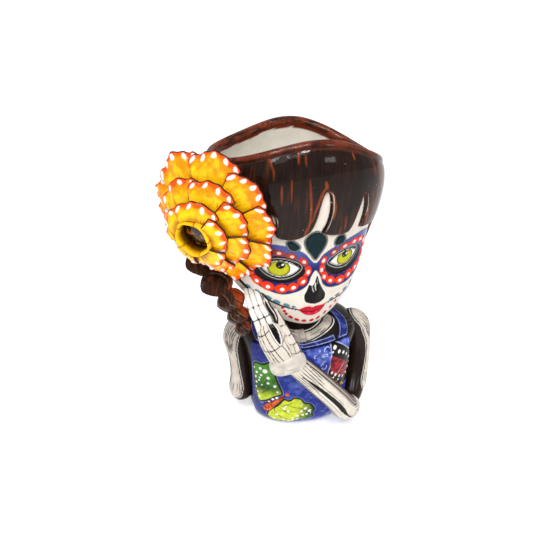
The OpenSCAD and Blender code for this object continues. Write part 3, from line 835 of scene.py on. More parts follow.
def bust_shell():
    """Black glazed bust with painted collar bones, bare clay inside."""
    angles = np.concatenate([np.arange(190, 352, 0.6), np.arange(352, 550, 3.0)])
    q, t = grid(angles, np.concatenate([np.linspace(0, 0.62, 70)[:-1], np.linspace(0.62, 1, 90)]))
    outer = bust_point(q, t)
    x, z = (q - 270) * BUST_MM, outer[..., 2]
    base = blend(BLACK, rgb(44, 30, 22), 0.6 * cloud(x / 20, z / 26, 52))
    c = Canvas(x, z, base)
    for side in (1, -1):
        bone_mark(c, shape([(side * a, b) for a, b in ((4, 120.6), (16, 122.6), (36, 127), (52, 131),
                                                       (61, 132), (62, 129), (54, 126), (38, 121.4),
                                                       (20, 116.6), (4, 113.6))]),
                  [([(side * 8, 117.6), (side * 20, 119.8), (side * 34, 123.6)], 0.6),
                   ([(side * 26, 119), (side * 40, 123)], 0.8)])
        for k in range(4):
            y = 132 - 4.4 * k
            c.line([(side * 70, y), (side * 86, y - 5)], 0.5, rgb(120, 108, 100), taper=0.8, opacity=0.4)
    plate = shape([(-12, 124), (4, 124.4), (4, 112.4), (-12, 111.4)], sharp=True)
    c.fill(plate, LINE, grow=0.6).fill(
        plate, lambda x, y: blend(BONE, BONE_MOTTLE_AND_SHADE, 0.8 * cloud(x / 4, y / 4, 53)), rise=0.5)
    for line in ([(-4.6, 124), (-4.4, 112)], [(-11, 122), (-5, 121)], [(-4, 114.6), (3.6, 115.4)]):
        c.line(line, 0.5, rgb(90, 74, 68), opacity=0.8)
    outer = lifted(bust_point, q, t, c.relief() * smooth((1 - t) * 20))
    qi, ti = grid(angles, np.linspace(1, 0, 50))
    inner = lifted(bust_point, qi, ti, np.full(qi.shape, -WALL))
    inner[:, 0, 2], inner[:, -1, 2] = BUST_HIGH, 0
    clay = np.tile(rgb(176, 120, 84), qi.shape + (1,))
    piece("bust_shell_glazed", ring_mesh(np.concatenate([outer, inner], 1)), ["bust_shell"],
          GLAZE["black"], np.concatenate([c.colours(), clay], 1))


def patch(name, node, foot, head, t0, t1, dips, count, paint, material):
    """A sheet laid on the bust, between the angles foot at height share t0 and head at t1."""
    i, j = grid(np.linspace(0, 1, count[0]), np.linspace(0, 1, count[1]))
    q = (foot[0] + (foot[1] - foot[0]) * i) * (1 - j) + (head[0] + (head[1] - head[0]) * i) * j
    dip = (dips[0] + (dips[1] - dips[0]) * j) * np.maximum(0, 1 - np.abs(q - 270) / 45)
    t = t0 + (t1 - t0) * j - dip
    p = bust_point(q, t)
    x, z = (q - 270) * BUST_MM, p[..., 2]
    c = Canvas(x, z, BLUE)
    wide = (q[-1:] - q[:1]) * BUST_MM
    edge = np.minimum(np.minimum(i, 1 - i) * wide, np.minimum(j, 1 - j) * (z[:, -1:] - z[:, :1])).ravel()
    paint(c, edge)
    round_edge = dome(np.clip(edge.reshape(q.shape) / 1.8, 0, 1))
    top = lifted(bust_point, q, t, GAP + 0.3 + (BIB_T - 0.3 + c.relief()) * round_edge)
    piece(name, slab_mesh(top, lifted(bust_point, q, t, np.full(q.shape, GAP))), [node], material,
          c.colours(), flat(x, z), crease=80)


def cloth(c, edge):
    """Mottled blue with pale curls, under the butterfly and the red wing."""
    flow = cloud(c.x / 7 + 0.5 * cloud(c.y / 9, c.x / 9, 61), c.y / 7, 62)
    # painted shade: the blue is darker and has fewer pale patches towards negative x, beside the right upper
    # arm
    c.c[:] = blend(rgb(34, 48, 136), rgb(98, 118, 198), smooth((flow - 0.36) * 2.2)
                   * (0.25 + 0.75 * smooth((c.x + 30) / 46)))
    c.wash(NAVY, 0.55 * smooth((-24 - c.x) / 20))
    c.h += 0.5 * (flow - 0.5)
    for k in range(40):
        u, v, turn, r = np.sin((k + 1) * np.array([12.9898, 78.233, 37.719, 51.13])) * 4375.85 % 1
        u, v, turn, r = 8 + 38 * u, 54 + 50 * v, 7 * turn, 1.4 + 3.4 * r * r
        arc = [(u + r * math.cos(turn + a), v + 0.7 * r * math.sin(turn + 1.3 * a))
               for a in (0, 0.9, 1.7, 2.6, 3.4)]
        c.line(arc, 0.6 + 0.08 * r, rgb(206, 214, 236), taper=0.8, soft=0.5, opacity=0.75)
    for k in range(24):
        u, v = -66 + 84 * ((k * 0.618 + 0.3) % 1), 8 + 92 * ((k * 0.381 + 0.1) % 1)
        arc = [(u, v), (u + 3, v + 2 * math.sin(k)), (u + 6 * math.cos(k), v + 3 * math.cos(k))]
        c.line(arc, 0.4, rgb(170, 182, 220), taper=0.7, soft=0.4, opacity=0.5)
    butterfly(c)
    red_wing(c)
    c.wash(LINE, 0.7 * smooth((0.9 - edge) / 0.6))


def butterfly(c):
    """Green butterfly low on the bib, with white dots round its wings."""
    leaf = lambda x, y: blend(blend(rgb(22, 62, 26), rgb(74, 132, 44), smooth((y - 40) / 40) * smooth(
        cloud(x / 6, y / 6, 63) * 1.8)), rgb(166, 184, 48), smooth((56 - y + 0.2 * (x + 45)) / 16))
    low = lambda x, y: blend(rgb(186, 198, 52), rgb(44, 92, 34), smooth((x + 14 - 0.3 * (y - 20)) / 22) +
                             0.7 * smooth((cloud(x / 3, y / 9, 64) - 0.6) * 5))
    upper = shape([(-64, 74), (-60, 84), (-50, 85), (-39, 90), (-36, 80), (-32, 68), (-27, 56), (-26, 50),
                   (-34, 45), (-46, 36), (-56, 32), (-60, 42), (-62, 56)])
    lower = shape([
        (-47, 14), (-41, 25), (-31, 34), (-24, 43), (-17, 42), (-12, 46), (-4, 44), (1, 38), (8, 36),
        (14, 27), (11, 22), (13, 16), (3, 12), (-6, 12), (-16, 7), (-30, 8), (-40, 7)])
    for form, tone in ((upper, leaf), (lower, low)):
        c.fill(form, rgb(150, 160, 190), grow=1.5, opacity=0.6).fill(form, BLACK, grow=0.9)
        c.fill(form, tone, rise=1.0, bevel=2.5, grow=-1.3, soft=0.9)
    for a, b in (((-52, 44), (-36, 60)), ((-50, 52), (-42, 70)), ((-46, 46), (-56, 62)),
                 ((-30, 32), (-18, 22)), ((-36, 26), (-26, 12)), ((-22, 36), (-2, 30)),
                 ((-32, 27), (-8, 26)), ((-28, 33), (-10, 41)), ((-36, 21), (-14, 11)),
                 ((-8, 34), (6, 24))):
        c.line([a, b], 0.9, rgb(18, 34, 14), taper=0.5, soft=0.5, opacity=0.7)
    for x, y, r in (
            (-52, 79, 2), (-46, 77, 3.1), (-42, 69, 2.1), (-37, 80, 1.4), (-42, 62, 1.8), (-34, 60, 1.8),
            (-51, 70, 1.6), (-57, 72, 1.6), (-59, 65, 1.5), (-58, 58, 1.6), (-59, 51, 1.6),
            (-54, 62, 1.3), (-57, 45, 1.4), (-55, 39, 1.4), (-53, 66, 1.2), (-61, 77, 1.3),
            (-31, 53, 1.3), (-50, 57, 1.1), (-37, 41, 1.7), (-32, 44, 1.8), (-42, 36, 1.4),
            (-24, 30, 1.8), (-19, 27, 1.7), (-22, 34, 1.5), (-33, 20, 2), (2, 31, 2), (7, 27, 2.2),
            (-3, 27, 1.8), (-8, 20, 2), (-1, 21, 1.7), (4, 22, 1.8), (-14, 13, 1.7), (-20, 10, 1.7),
            (-26, 11, 1.5), (-8, 14, 1.6), (-14, 17, 1.4), (-38, 13, 1.3), (-3, 36, 1.4), (9, 23, 1.2)):
        c.fill(disc(x, y, r, r * 0.84, 30), WHITE, rise=0.5, soft=0.4)
    body = shape([(-51, 22), (-47, 30), (-38, 37), (-28, 45), (-24, 48), (-25, 44), (-34, 33), (-43, 22)])
    c.fill(body, LINE, grow=0.7).fill(body, lambda x, y: blend(rgb(206, 88, 40), rgb(130, 44, 20), smooth(
        (cloud(x / 2, y / 2, 65) - 0.4) * 3)), rise=1.4, bevel=2.5)
    c.fill(disc(-20, 50.5, 2.6, 2.2), rgb(204, 84, 38), rise=1.2)


def red_wing(c):
    """Red and black wing high on the bib, on her left."""
    wing = shape([(36, 108), (44, 107), (56, 98), (66, 86), (70, 74), (66, 60), (60, 50), (48, 52),
                  (36, 62), (29, 72), (33, 84), (35, 96)])
    c.fill(wing, rgb(170, 178, 200), grow=1.4, opacity=0.7).fill(wing, BLACK, rise=0.8, bevel=2.5)
    c.fill(shape([(34, 92), (44, 88), (56, 78), (58, 68), (50, 62), (40, 66), (32, 74)]), lambda x,
           y: blend(rgb(150, 22, 40), rgb(70, 8, 18), smooth((cloud(x / 5, y / 3, 66) - 0.4) * 3)),
           soft=1.0)
    c.line([(40, 68), (52, 80)], 0.7, rgb(210, 170, 170), taper=0.5)
    for x, y, r in ((39, 103, 2.6), (44, 97, 2.3), (50, 94, 2), (55, 90, 1.7), (60, 84, 1.5),
                    (36, 98, 1.2), (63, 76, 1.4), (60, 70, 1.2), (33, 73, 1.9), (38, 69, 2.1),
                    (44, 65, 1.9), (50, 62, 1.7), (35, 66, 1.4), (42, 61, 1.3), (56, 64, 1.4)):
        c.fill(disc(x, y, r, r * 0.8, 60), WHITE, rise=0.5, soft=0.4)
    for x, y, a in ((28, 64, 3), (38, 58, 3.4), (48, 53, 2.8)):
        c.fill(disc(x, y, a, 2.3, -30), rgb(238, 166, 24), rise=0.8)
        c.outline(disc(x, y, a, 2.3, -30), LINE, 0.5)
    for k in range(5):
        c.line([(22 + 3 * k, 70 - 3 * k), (26 + 3 * k, 76 - 3.4 * k)], 0.6, WHITE, taper=0.6, opacity=0.7)


def navy_cloth(c, edge):
    """Dark blue with a pale line inside its black edge."""
    flow = cloud(c.x / 3.4, c.y / 3.4, 67)
    c.c[:] = blend(rgb(26, 34, 96), rgb(70, 86, 166), smooth((flow - 0.45) * 3))
    c.h += 0.5 * (flow - 0.5)
    c.wash(LINE, 0.8 * smooth((1.0 - edge) / 0.5))
    pale = smooth(1 - np.abs(edge - 1.7) / 0.5) * (0.35 + 0.5 * cloud(c.x / 6, c.y / 6, 68))
    c.wash(rgb(190, 196, 214), pale)


def bib_and_straps():
    blue, navy = GLAZE["blue"], GLAZE["navy"]
    patch("bib_panel", "bib", (206, 330), (212, 324), 0.1, 0.665, (0, 0.035), (280, 210), cloth, blue)
    for name, node, foot, head, t0, t1, dips, count in (
            ("bib_top_band", "bib_band", (231.5, 308.5), (231.5, 308.5), 0.671, 0.735, (0.035, 0.05),
             (220, 26)), ("left_strap", "strap_left", (309.5, 322), (338, 354), 0.671, 0.95, (0, 0),
                          (36, 100)), ("right_strap", "strap_right", (218, 230.5), (186, 202), 0.671,
                                       0.95, (0, 0), (36, 100))):
        patch(name, node, foot, head, t0, t1, dips, count, navy_cloth, navy)


def neck_collar():
    """The plain ring between bust and head."""
    a, s = grid(np.radians(np.arange(0, 360, 5.0)), np.arange(4))
    foot, top = BUST_HIGH + GAP, BUST_HIGH + NECK_HIGH
    r, z = np.array([NECK_R, NECK_R, NECK_BORE, NECK_BORE])[s], np.array([foot, top, top, foot])[s]
    neck = np.stack([r * np.cos(a) - NECK_SHIFT, r * np.sin(a), z], -1)
    piece("neck_collar", ring_mesh(neck), ["neck_ring"], GLAZE["black"],
          np.tile(BLACK, a.shape + (1,)))


bust_shell()
bib_and_straps()
neck_collar()


# ---- Arms and hand ----

def limb(stations, rings=110, sides=88):
    """Rings of points of a rounded limb, then for each point the way round from its front and the
    way along, in millimetres, and the direction out. Stations are x, y, z, half width and half thickness."""
    stations = np.array(stations, float)
    t = (1 - np.cos(np.linspace(0, math.pi, rings))) / 2
    s = along(stations, t)
    span = np.linalg.norm(along(stations, np.array(0.0)) - along(stations, np.array(1.0)))
    d = unit(
        along(stations, np.minimum(t + 0.02, 1))[:, :3] - along(stations, np.maximum(t - 0.02, 0))[:, :3])
    u = unit(np.cross([0, -1.0, 0], d))
    v = np.cross(d, u)
    inset = np.minimum(1, np.minimum(t, 1 - t) * span / s[:, 3])
    cap = np.maximum(0.04, np.sqrt(1 - (1 - inset) ** 2))
    q = np.linspace(0, 2 * math.pi, sides, endpoint=False)
    out = np.cos(q)[None, :, None] * u[:, None] * (s[:, 3] * cap)[:, None, None]
    out = out + np.sin(q)[None, :, None] * v[:, None] * (s[:, 4] * cap)[:, None, None]
    p = s[:, None, :3] + out
    step = np.linalg.norm(np.diff(s[:, :3], axis=0), axis=1)
    length = np.repeat(np.concatenate([[0], np.cumsum(step)])[:, None], sides, 1)
    turn = (math.pi / 2 - q + math.pi) % (2 * math.pi) - math.pi
    return p, turn[None, :] * s[:, 3:4], length, unit(out)


def limb_piece(name, node, stations, slot, material, paint, clear, **detail):
    """A painted limb; clear moves its points out of the pieces it rests on."""
    p, x, y, out = limb(stations, **detail)
    c = Canvas(x, y, BONE)
    paint(c)
    p = clear(p + out * c.relief()[..., None])
    piece(name, loft_mesh(p), [node], material, c.colours(), flat(x, y))


def bone_piece(name, node, stations, paint, clear, **detail):
    limb_piece(name, node, stations, "bone_glaze", GLAZE["bone"], paint, clear, **detail)


def arm_paint(side):
    def paint(c):
        c.c[:] = blend(BLACK, rgb(48, 32, 24), 0.7 * cloud(c.x / 12, c.y / 20, 71))
        m = (13 if side > 0 else 9) * side
        w = 0.84 if side > 0 else 1
        bone_mark(
            c, shape([(m + w * (a - m), b) for a, b in ((m - 5, 6), (m + 5, 5), (m + 10, 14), (m + 9, 27),
                                                        (m + 5.5, 40), (m + 4.6, 60), (m + 6, 78),
                                                        (m + 8, 90), (m + 6, 100), (m, 102), (m - 6, 101),
                                                        (m - 8.4, 92), (m - 6.5, 78), (m - 5, 60),
                                                        (m - 6, 42), (m - 9.6, 28), (m - 10, 14))]),
            [([(m + k, 10 + abs(k)), (m + 0.7 * k, 26), (m + 0.4 * k, 44 - abs(k))],
              1.1) for k in (-7, -4.4, -2, 1, 3.8, 6.4)] + [([(m + k, 82), (m + 1.3 * k, 96)],
                                                             0.9) for k in (-4.4, -2, 2.4, 4.6)])
        c.hump(m, 18, 8, 14, 1.4).hump(m, 92, 7, 10, 1.2)
    return paint


def forearm_paint(c):
    # painted shade: darker and browner towards both sides of the round forearm
    c.c[:] = blend(BONE, BONE_MOTTLE_AND_SHADE, smooth((np.abs(c.x + 1) - 9) / 9))
    c.wash(rgb(96, 70, 56), smooth((np.abs(c.x) - 15) / 4))
    c.wash(LINE, smooth((np.abs(c.x) - 18.6) / 1.2))
    c.h -= 0.9 * smooth(1 - np.abs(c.x) / 6) * smooth((c.y - 22) / 12) * smooth((112 - c.y) / 14)
    for side in (-1, 1):
        c.line([(side * 15.6, 8), (side * 14.4, 40), (side * 13.8, 80), (side * 13, 120)], 1.9, LINE,
               taper=0.2)
        c.line([(side * 13.4, 12), (side * 12.2, 44), (side * 11.8, 104)], 0.8, rgb(96, 78, 72),
               taper=0.6, opacity=0.8)
    c.line([(1, 20), (0, 38), (0, 62), (1, 86), (3, 112)], [2, 6, 5.4, 4.4, 2], LINE, taper=0.4)
    c.line([(1, 22), (0, 38), (0, 62), (1, 84), (3, 108)], [1.6, 4.8, 4.2, 3.4, 1.6], BLACK, taper=0.4,
           rise=-0.9)
    c.line([(4.4, 34), (4.2, 60), (4.6, 96)], 0.8, WHITE, taper=0.6)
    c.line([(6, 30), (5.6, 60), (5.4, 100)], 0.7, LINE, taper=0.8, opacity=0.85)
    c.line([(-4.6, 44), (-4.2, 70), (-3, 104)], 0.8, LINE, taper=0.8, opacity=0.8)
    for k in range(8):
        x = -12 + 3.5 * k
        c.line([(x, 120), (x * 0.9, 104), (x * 0.8, 90 - 4 * (k % 3))], 1.1, LINE, taper=0.6, opacity=0.9)
        c.line([(x * 0.8, 8 + 2 * (k % 2)), (x * 0.95, 16), (x, 26 - 2 * (k % 3))], 0.8, LINE, taper=0.7,
               opacity=0.7)
    for x, y, r in ((8, 12, 3.6), (-7, 13, 4)):
        c.outline(disc(x, y, r), LINE, 0.6, opacity=0.7)
    c.hump(0, 12, 12, 10, 1.2)


def wrist_paint(c):
    c.c[:] = blend(rgb(208, 200, 190), rgb(140, 132, 126), 0.75 * cloud(c.x / 5, c.y / 4, 72))
    c.wash(LINE, smooth((np.abs(c.x) - 15.6) / 1.2))
    for k in range(8):
        c.line([(-18 + 5 * k, 8), (-19 + 5.2 * k, 20 + 3 * (k % 3))], 0.5, rgb(90, 82, 78), taper=0.8,
               opacity=0.5)
    c.h += 0.5 * (cloud(c.x / 6, c.y / 6, 73) - 0.5)


def hand_line(c, points, width=1.0):
    c.line(points, width, rgb(36, 28, 27), taper=0.2, rise=-0.9)


def palm_paint(c):
    # painted shade: darker towards both sides of the palm, over random mottle
    c.c[:] = blend(BONE, BONE_MOTTLE_AND_SHADE,
                   0.35 * cloud(c.x / 6, c.y / 8, 74) + 0.4 * smooth((np.abs(c.x) - 13) / 8))
    for points in (
            [(13, 5), (15, 24), (16, 54)], [(8.4, 4), (10.4, 22), (11, 40), (10.6, 56)],
            [(3.4, 4), (6.4, 16), (8, 27)], [(-1.6, 4), (2.4, 22), (5.6, 43), (6, 56)],
            [(-9.4, 5), (-8.8, 17), (-6.4, 27)], [(-13, 10), (-12.4, 24), (-12, 40)],
            [(-19, 35), (-12, 30.6), (-5, 27), (3, 25), (11, 25.6), (20, 28)],
            [(-1, 46), (6, 43), (12, 42), (20, 43)]):
        hand_line(c, points)
    c.wash(LINE, smooth((np.abs(c.x) - 19.6) / 1.2))
    gap = shape([(-5.6, 28), (-3.2, 36), (-1.8, 46), (-0.8, 62), (-7.4, 62), (-8.8, 50), (-9.6, 41),
                 (-8.6, 33)])
    c.fill(gap, LINE, grow=2.0).fill(gap, WHITE, grow=1.3).fill(gap, BLACK, rise=-1.2)


def finger_paint(c):
    # painted shade: darker towards both sides of each finger, over random mottle
    c.c[:] = blend(WHITE, BONE_MOTTLE_AND_SHADE,
                   0.45 * smooth((np.abs(c.x) - 3) / 3) + 0.3 * cloud(c.x / 3, c.y / 5, 75))
    for y in (17, 30):
        hand_line(c, [(-9, y + 1), (0, y), (9, y + 1)])
        c.h -= 0.35 * np.exp(-((c.y - y) / 1.6) ** 2)
    for side in (-1, 1):
        c.line([(side * 4.6, 2), (side * 4.4, 20), (side * 3.8, 48)], 1.2, LINE, soft=0.5)


def index_paint(c):
    c.c[:] = BLACK
    for points in ([(3.6, 4), (3, 20), (1.6, 40)], [(-1, 10), (-2, 24), (0, 36)],
                   [(-3, 30), (0, 34), (2, 30)]):
        c.line(points, 0.9, rgb(214, 206, 198), taper=0.4)


def thumb_paint(c):
    c.c[:] = blend(BONE, BONE_MOTTLE_AND_SHADE, 0.5 * cloud(c.x / 3, c.y / 5, 76))
    for y in (10, 21, 32, 43):
        hand_line(c, [(-9, y - 1), (0, y), (9, y + 2)])
        c.h -= 0.4 * np.exp(-((c.y - y) / 1.8) ** 2)
    hand_line(c, [(0, 10), (-0.6, 21)], 0.7)
    for side, width in ((-1, 2.4), (1, 3.0)):
        c.line([(side * 7.4, 2), (side * 7, 24), (side * 5.6, 58)], width, LINE, soft=0.5)
        c.line([(side * 5.2, 6), (side * 4.8, 26), (side * 3.8, 54)], 0.6, WHITE, taper=0.4, opacity=0.9)


off_bib = lambda p: clear_of_bust(p, BIB_T + GAP)
off_head = lambda p: clear_of_head(p, GAP)
bone_piece("right_upper_arm", "right_arm", [
    [-58, 3, 116, 10, 11], [-70, 2, 106, 14, 15], [-73, 0, 94, 15.5, 15], [-69, -2, 72, 14, 14],
    [-67, -5, 48, 14, 14], [-68, -8, 28, 15, 15], [-65, -11, 14, 11, 12]], arm_paint(-1),
    lambda p: clear_of_bust(p, GAP), rings=170, sides=120)
bone_piece("left_upper_arm", "left_arm", [
    [58, 4, 116, 10, 10], [72, 4, 106, 14, 14], [76, 3, 94, 15, 15], [77, -2, 72, 14.5, 14],
    [73, -12, 46, 14, 13], [66, -26, 26, 13, 13], [60, -38, 20, 11, 11]], arm_paint(1),
    lambda p: clear_of_bust(p, GAP), rings=170, sides=120)
bone_piece("forearm_bones", "left_forearm", [
    [62, -44, 24, 11, 11], [50, -59, 26, 15, 15], [34, -69, 48, 14.5, 14], [12, -77, 75, 14, 13.5],
    [-8, -81, 97, 13, 12], [-17, -83, 106, 11, 10]], forearm_paint, off_bib, rings=200, sides=140)
bone_piece("wrist_cuff", "wrist", [
    [-4, -84, 111, 8, 8], [-14, -86, 110, 12, 11.5], [-32, -86, 105, 12, 11.5], [-42, -84, 101, 8, 8]],
    wrist_paint, off_bib)
bone_piece("palm_bones", "palm", [
    [-26, -85, 108, 14, 8], [-32, -87, 122, 15, 9], [-40, -86, 140, 15, 8.5], [-46, -81, 157, 12, 7]],
    palm_paint, off_bib, rings=150, sides=140)

PALM_TO = np.array([-46, -81, 157.0])
ACROSS = unit(np.cross([0, -1.0, 0], PALM_TO - [-26, -85, 108]))
for i, (name, node) in enumerate((
        ("index_bones", "index_finger"), ("middle_bones", "middle_finger"), ("ring_bones", "ring_finger"),
        ("little_bones", "little_finger"))):
    o, r = (i - 1.5) * 6.6 * ACROSS, 3.2
    bone_piece(name, node, [
        [*(PALM_TO + o + [3, 0, -10]), r, r + 0.5], [*(PALM_TO + o + [-1, -1, 4]), r, r + 0.5],
        [*(o * 0.9 + [-52, -76, 170]), r, r], [*(o * 0.85 + [-56, -67, 181]), 0.9 * r, 0.9 * r],
        [*(o * 0.8 + [-58, -56, 188]), 0.75 * r, 0.75 * r]], finger_paint if i else index_paint, off_head,
        rings=80, sides=40)
bone_piece("thumb_bones", "thumb", [
    [-12, -85, 114, 6, 7], [-18, -87, 130, 6, 6], [-28, -84, 150, 5, 5], [-38, -74, 168, 4, 4]],
    thumb_paint, off_head, rings=90, sides=56)


# ---- Braid ----

# x, y, z and radius of each twist
LOBES = np.array([[-108, -30, 212, 23], [-95, -42, 190, 20], [-81, -53, 171, 16], [-74, -58, 155, 12.5],
                  [-69, -61, 140, 9.5]])


def braid_paint(c):
    flow = cloud(c.x / 2.4 + c.y / 6, c.y / 12, 81)
    c.c[:] = blend(rgb(44, 24, 14), rgb(78, 44, 24), smooth((flow - 0.4) * 3))
    # painted light: the side towards positive x turns orange, standing for light from behind
    c.c[:] = blend(
        c.c, rgb(196, 74, 20), smooth((c.x - 4) / 8) * (0.35 + 0.6 * cloud(c.x / 3, c.y / 8, 82)))
    c.h += 0.7 * (flow - 0.5)
    for k in range(5):
        x = -26 + 12 * k
        c.line([(x, 0), (x + 7, 10), (x + 18, 22), (x + 34, 34)], 1.0, rgb(24, 14, 10), taper=0.2,
               rise=-0.9, soft=0.6)
        c.line([(x + 2, 0), (x + 9, 10), (x + 20, 22), (x + 36, 34)], 0.4, rgb(150, 130, 116), taper=0.6,
               opacity=0.6)


PETAL_ROOM, BACK_ROOM = 76.5, 7.2


def clear_of_flower(p):
    """Points are kept out of the head and behind the petals."""
    own = (clear_of_head(p, HAIR_T + GAP) - FLOWER_AT) @ FLOWER_TURN
    own[..., 2] = np.minimum(
        own[..., 2], np.maximum(0, np.hypot(own[..., 0], own[..., 1]) - PETAL_ROOM) * 1.5 - BACK_ROOM)
    return flower_to_world(own)


for i, lobe in enumerate(LOBES):
    d = LOBES[i + 1] - lobe if i < 4 else lobe - LOBES[i - 1]
    e, c, r = unit(d[:3]), lobe[:3], lobe[3]
    limb_piece(f"braid_twist_{i + 1}", f"braid_lobe_{i + 1}", [
        [*(c - 0.8 * r * e), 0.7 * r, 0.7 * r], [*(c - 0.3 * r * e), r, r], [*(c + 0.3 * r * e), r, r],
        [*(c + 0.9 * r * e), 0.7 * r, 0.7 * r]], "hair_glaze", GLAZE["braid"], braid_paint,
        clear_of_flower, rings=70, sides=110)


# ---- Flower ----

def revolved(profile):
    """Rings of points round z through a profile of radius and height."""
    r, z = np.array(profile, float).T[..., None]
    q = np.linspace(0, 2 * math.pi, 120, endpoint=False)
    return np.stack([r * np.cos(q), r * np.sin(q), z + 0 * q], -1)


core = revolved([
    (0.5, -2), (14, -2), (25, -2), (28, 1), (28, 14.5), (24, 15.5), (24, 30.5), (19.5, 31.5), (19.5, 41),
    (19.2, 43.5), (18.6, 44.7), (17.8, 45), (16.9, 44.6), (16.2, 43), (15.4, 38), (15.1, 33), (15, 30),
    (7, 30), (0.5, 30)])
height = core[..., 2]
tone = blend(YELLOW, rgb(226, 150, 14), 0.5 * cloud(core[..., 0] / 6, core[..., 1] / 6, 91))
turn = np.arctan2(core[..., 1], core[..., 0])
crease = smooth(1 - np.abs(np.sin(2.5 * turn + 0.9 + 0.05 * height)) * 5) * (height > 34)
tone = blend(tone, rgb(216, 104, 12), smooth((cloud(turn * 3, height / 5, 95) - 0.38) * 3)
             * smooth((44 - height) / 4))
tone = blend(tone, rgb(96, 56, 10), 0.85 * crease)
# painted shade: the wall of the hole gets darker further down
tone = blend(
    tone, rgb(60, 32, 10), smooth((41 - height) / 4) * (np.hypot(core[..., 0], core[..., 1]) < 16.5))
core[..., :2] *= 1 + (0.035 * np.cos(5 * turn + 1.8) * (height > 34))[..., None]
piece("flower_core_glazed", loft_mesh(flower_to_world(core)), ["flower_core"],
      GLAZE["petal"], tone, core, crease=50)

eye = revolved([(0.3, 30.15), (14.7, 30.15), (14.8, 31.6), (13.6, 32.6), (11, 33.8), (8, 34.8), (5, 35.3),
                (2.5, 35.5), (0.3, 35.6)])
flecks = cloud(eye[..., 0] / 2.6, eye[..., 1] / 2.6, 92)
tone = blend(rgb(20, 12, 6), rgb(150, 88, 14), smooth((flecks - 0.56) * 6))
piece("flower_eye_glazed", loft_mesh(flower_to_world(eye)), ["flower_eye"], GLAZE["eye"],
      tone, eye)

# petals, first turn, inner and outer radius, height at root and tip, cup
ROWS = {"outer": (9, 0, 28.15, 70, 10.5, -1, 1), "middle": (7, 20, 24.15, 50.4, 26.5, 15.5, 1.5),
        "inner": (5, 8, 19.65, 35, 40, 32.5, 1.5)}


OVERLAP, FAN, HALF_THICK = 1.2, 3.36, 1.6


def petal_point(row, w, s):
    """Middle of a petal: w runs across it from -1 to 1, and s from its root at 0 to its tip at 1."""
    n, turn, r0, r1, z0, z1, cup = row
    q = np.radians(turn + 180 / n * OVERLAP * w)
    wave = 0.05 * np.cos(np.radians(330 * w)) - 0.22 * w ** 4
    r = r0 + (r1 - r0) * s * (1 + s * wave)
    z = z0 + (z1 - z0) * s ** 1.3 + cup * w * w * s + FAN * w
    return np.stack([r * np.cos(q), r * np.sin(q), z], -1)


def petal(kind, i):
    """One painted petal of a row: ruffled, dark at the root with painted shade, orange and white-dotted at
    the tip.
    """
    n, turn, r0, r1, z0, z1, cup = ROWS[kind]
    k = 1 + 0.06 * math.cos(math.radians(2 * (360 * i / n + turn + 75)))
    row = (n, turn, r0, r1 * k, z0, z1, cup)
    w, s = grid(np.linspace(-1, 1, 90), np.linspace(0, 1, 64))
    p = petal_point(row, w, s)
    gap, first = (0.385, -0.01) if kind == "outer" else (0.47, 0.235)
    p[..., :2] *= (1 + (0.010 if kind == "outer" else 0.014) * s ** 3
                   * np.cos(2 * math.pi * (w - first) / gap))[..., None]
    half = math.radians(180 / n * OVERLAP)
    r = np.hypot(p[..., 0], p[..., 1])
    x, from_tip = w * half * r, (1 - s) * (r[:, -1:] - r[:, :1])
    edge = np.minimum(from_tip, (1 - np.abs(w)) * half * r)
    seed = i * 7.3 + n
    patchy = cloud(x / 6 + seed, from_tip / 6, 93)
    depth = row[3] - r0
    tone = blend(YELLOW, ORANGE, smooth((0.56 - from_tip / depth + 0.9 * (patchy - 0.5)) / 0.45))
    if kind == "inner":
        tone = blend(tone, YELLOW, 0.5)
    # painted shade: olive brown towards the root, where the petals overlap
    tone = blend(tone, rgb(150, 88, 10), 0.7 * smooth((from_tip / depth - 0.66) / 0.3))
    tone = blend(
        tone, rgb(226, 66, 14),
        smooth((5.8 - edge * 0.6 - from_tip * 0.4 + 7 * (patchy - 0.5)) / 3.6) * 0.92)
    veins = cloud(x / 1.6 + seed, from_tip / 14, 94)
    tone = blend(tone, rgb(150, 92, 12), 0.75 * smooth((veins - 0.6) * 5)
                 * smooth((from_tip / depth - 0.25) / 0.4))
    c = Canvas(x, from_tip, tone)
    tip = half * row[3]
    for m, u in enumerate((-0.78, -0.4, 0.0, 0.38, 0.76) if kind == "outer" else (-0.72, -0.26, 0.24, 0.7)):
        jog = math.sin(seed * 3 + m * 2.1)
        a = 2.8 if kind == "outer" else 2.4
        c.fill(disc(u * tip * 0.94, 4.6 + 0.6 * jog, a * (1 + 0.15 * jog), a * 0.85, 70 + 30 * jog),
               WHITE, rise=0.8, bevel=1.6)
    c.wash(rgb(44, 18, 12), smooth((1.4 - edge) / 0.6).ravel())
    round_edge = dome(np.clip(edge / 2.4, 0.0, 1))
    ruffle = 1.3 * np.cos(np.radians(400 * w + 40 * math.sin(seed))) * s ** 3 + 0.5 * (patchy - 0.5)
    crown = 1.9 * (1 - w * w) * np.sin(math.pi * np.clip(s * 1.05, 0, 1))
    a = petal_point(row, w, np.minimum(s + 0.02, 1)) - petal_point(row, w, np.maximum(s - 0.02, 0))
    b = petal_point(row, w + 0.02, s) - petal_point(row, w - 0.02, s)
    out = unit(np.cross(a, b))
    top = p + out * (HALF_THICK * round_edge + (ruffle + crown) * (0.3 + 0.7 * s) + c.relief())[..., None]
    bottom = p + out * (-HALF_THICK * round_edge - 0.05 + (ruffle + 0.6 * crown) * s)[..., None]
    spin = turned("z", 360 * i / n)
    piece(f"{kind}_petal_painted_{i}", slab_mesh(flower_to_world(top @ spin.T),
                                                 flower_to_world(bottom @ spin.T)), [f"{kind}_petal_{i}"],
          GLAZE["petal"], c.colours(), np.stack([x + 40 * i, from_tip, 0 * x + n], -1), crease=85)


for kind in ROWS:
    for i in range(1, ROWS[kind][0] + 1):
        petal(kind, i)


# ---- CAD pieces that keep their own shape ----

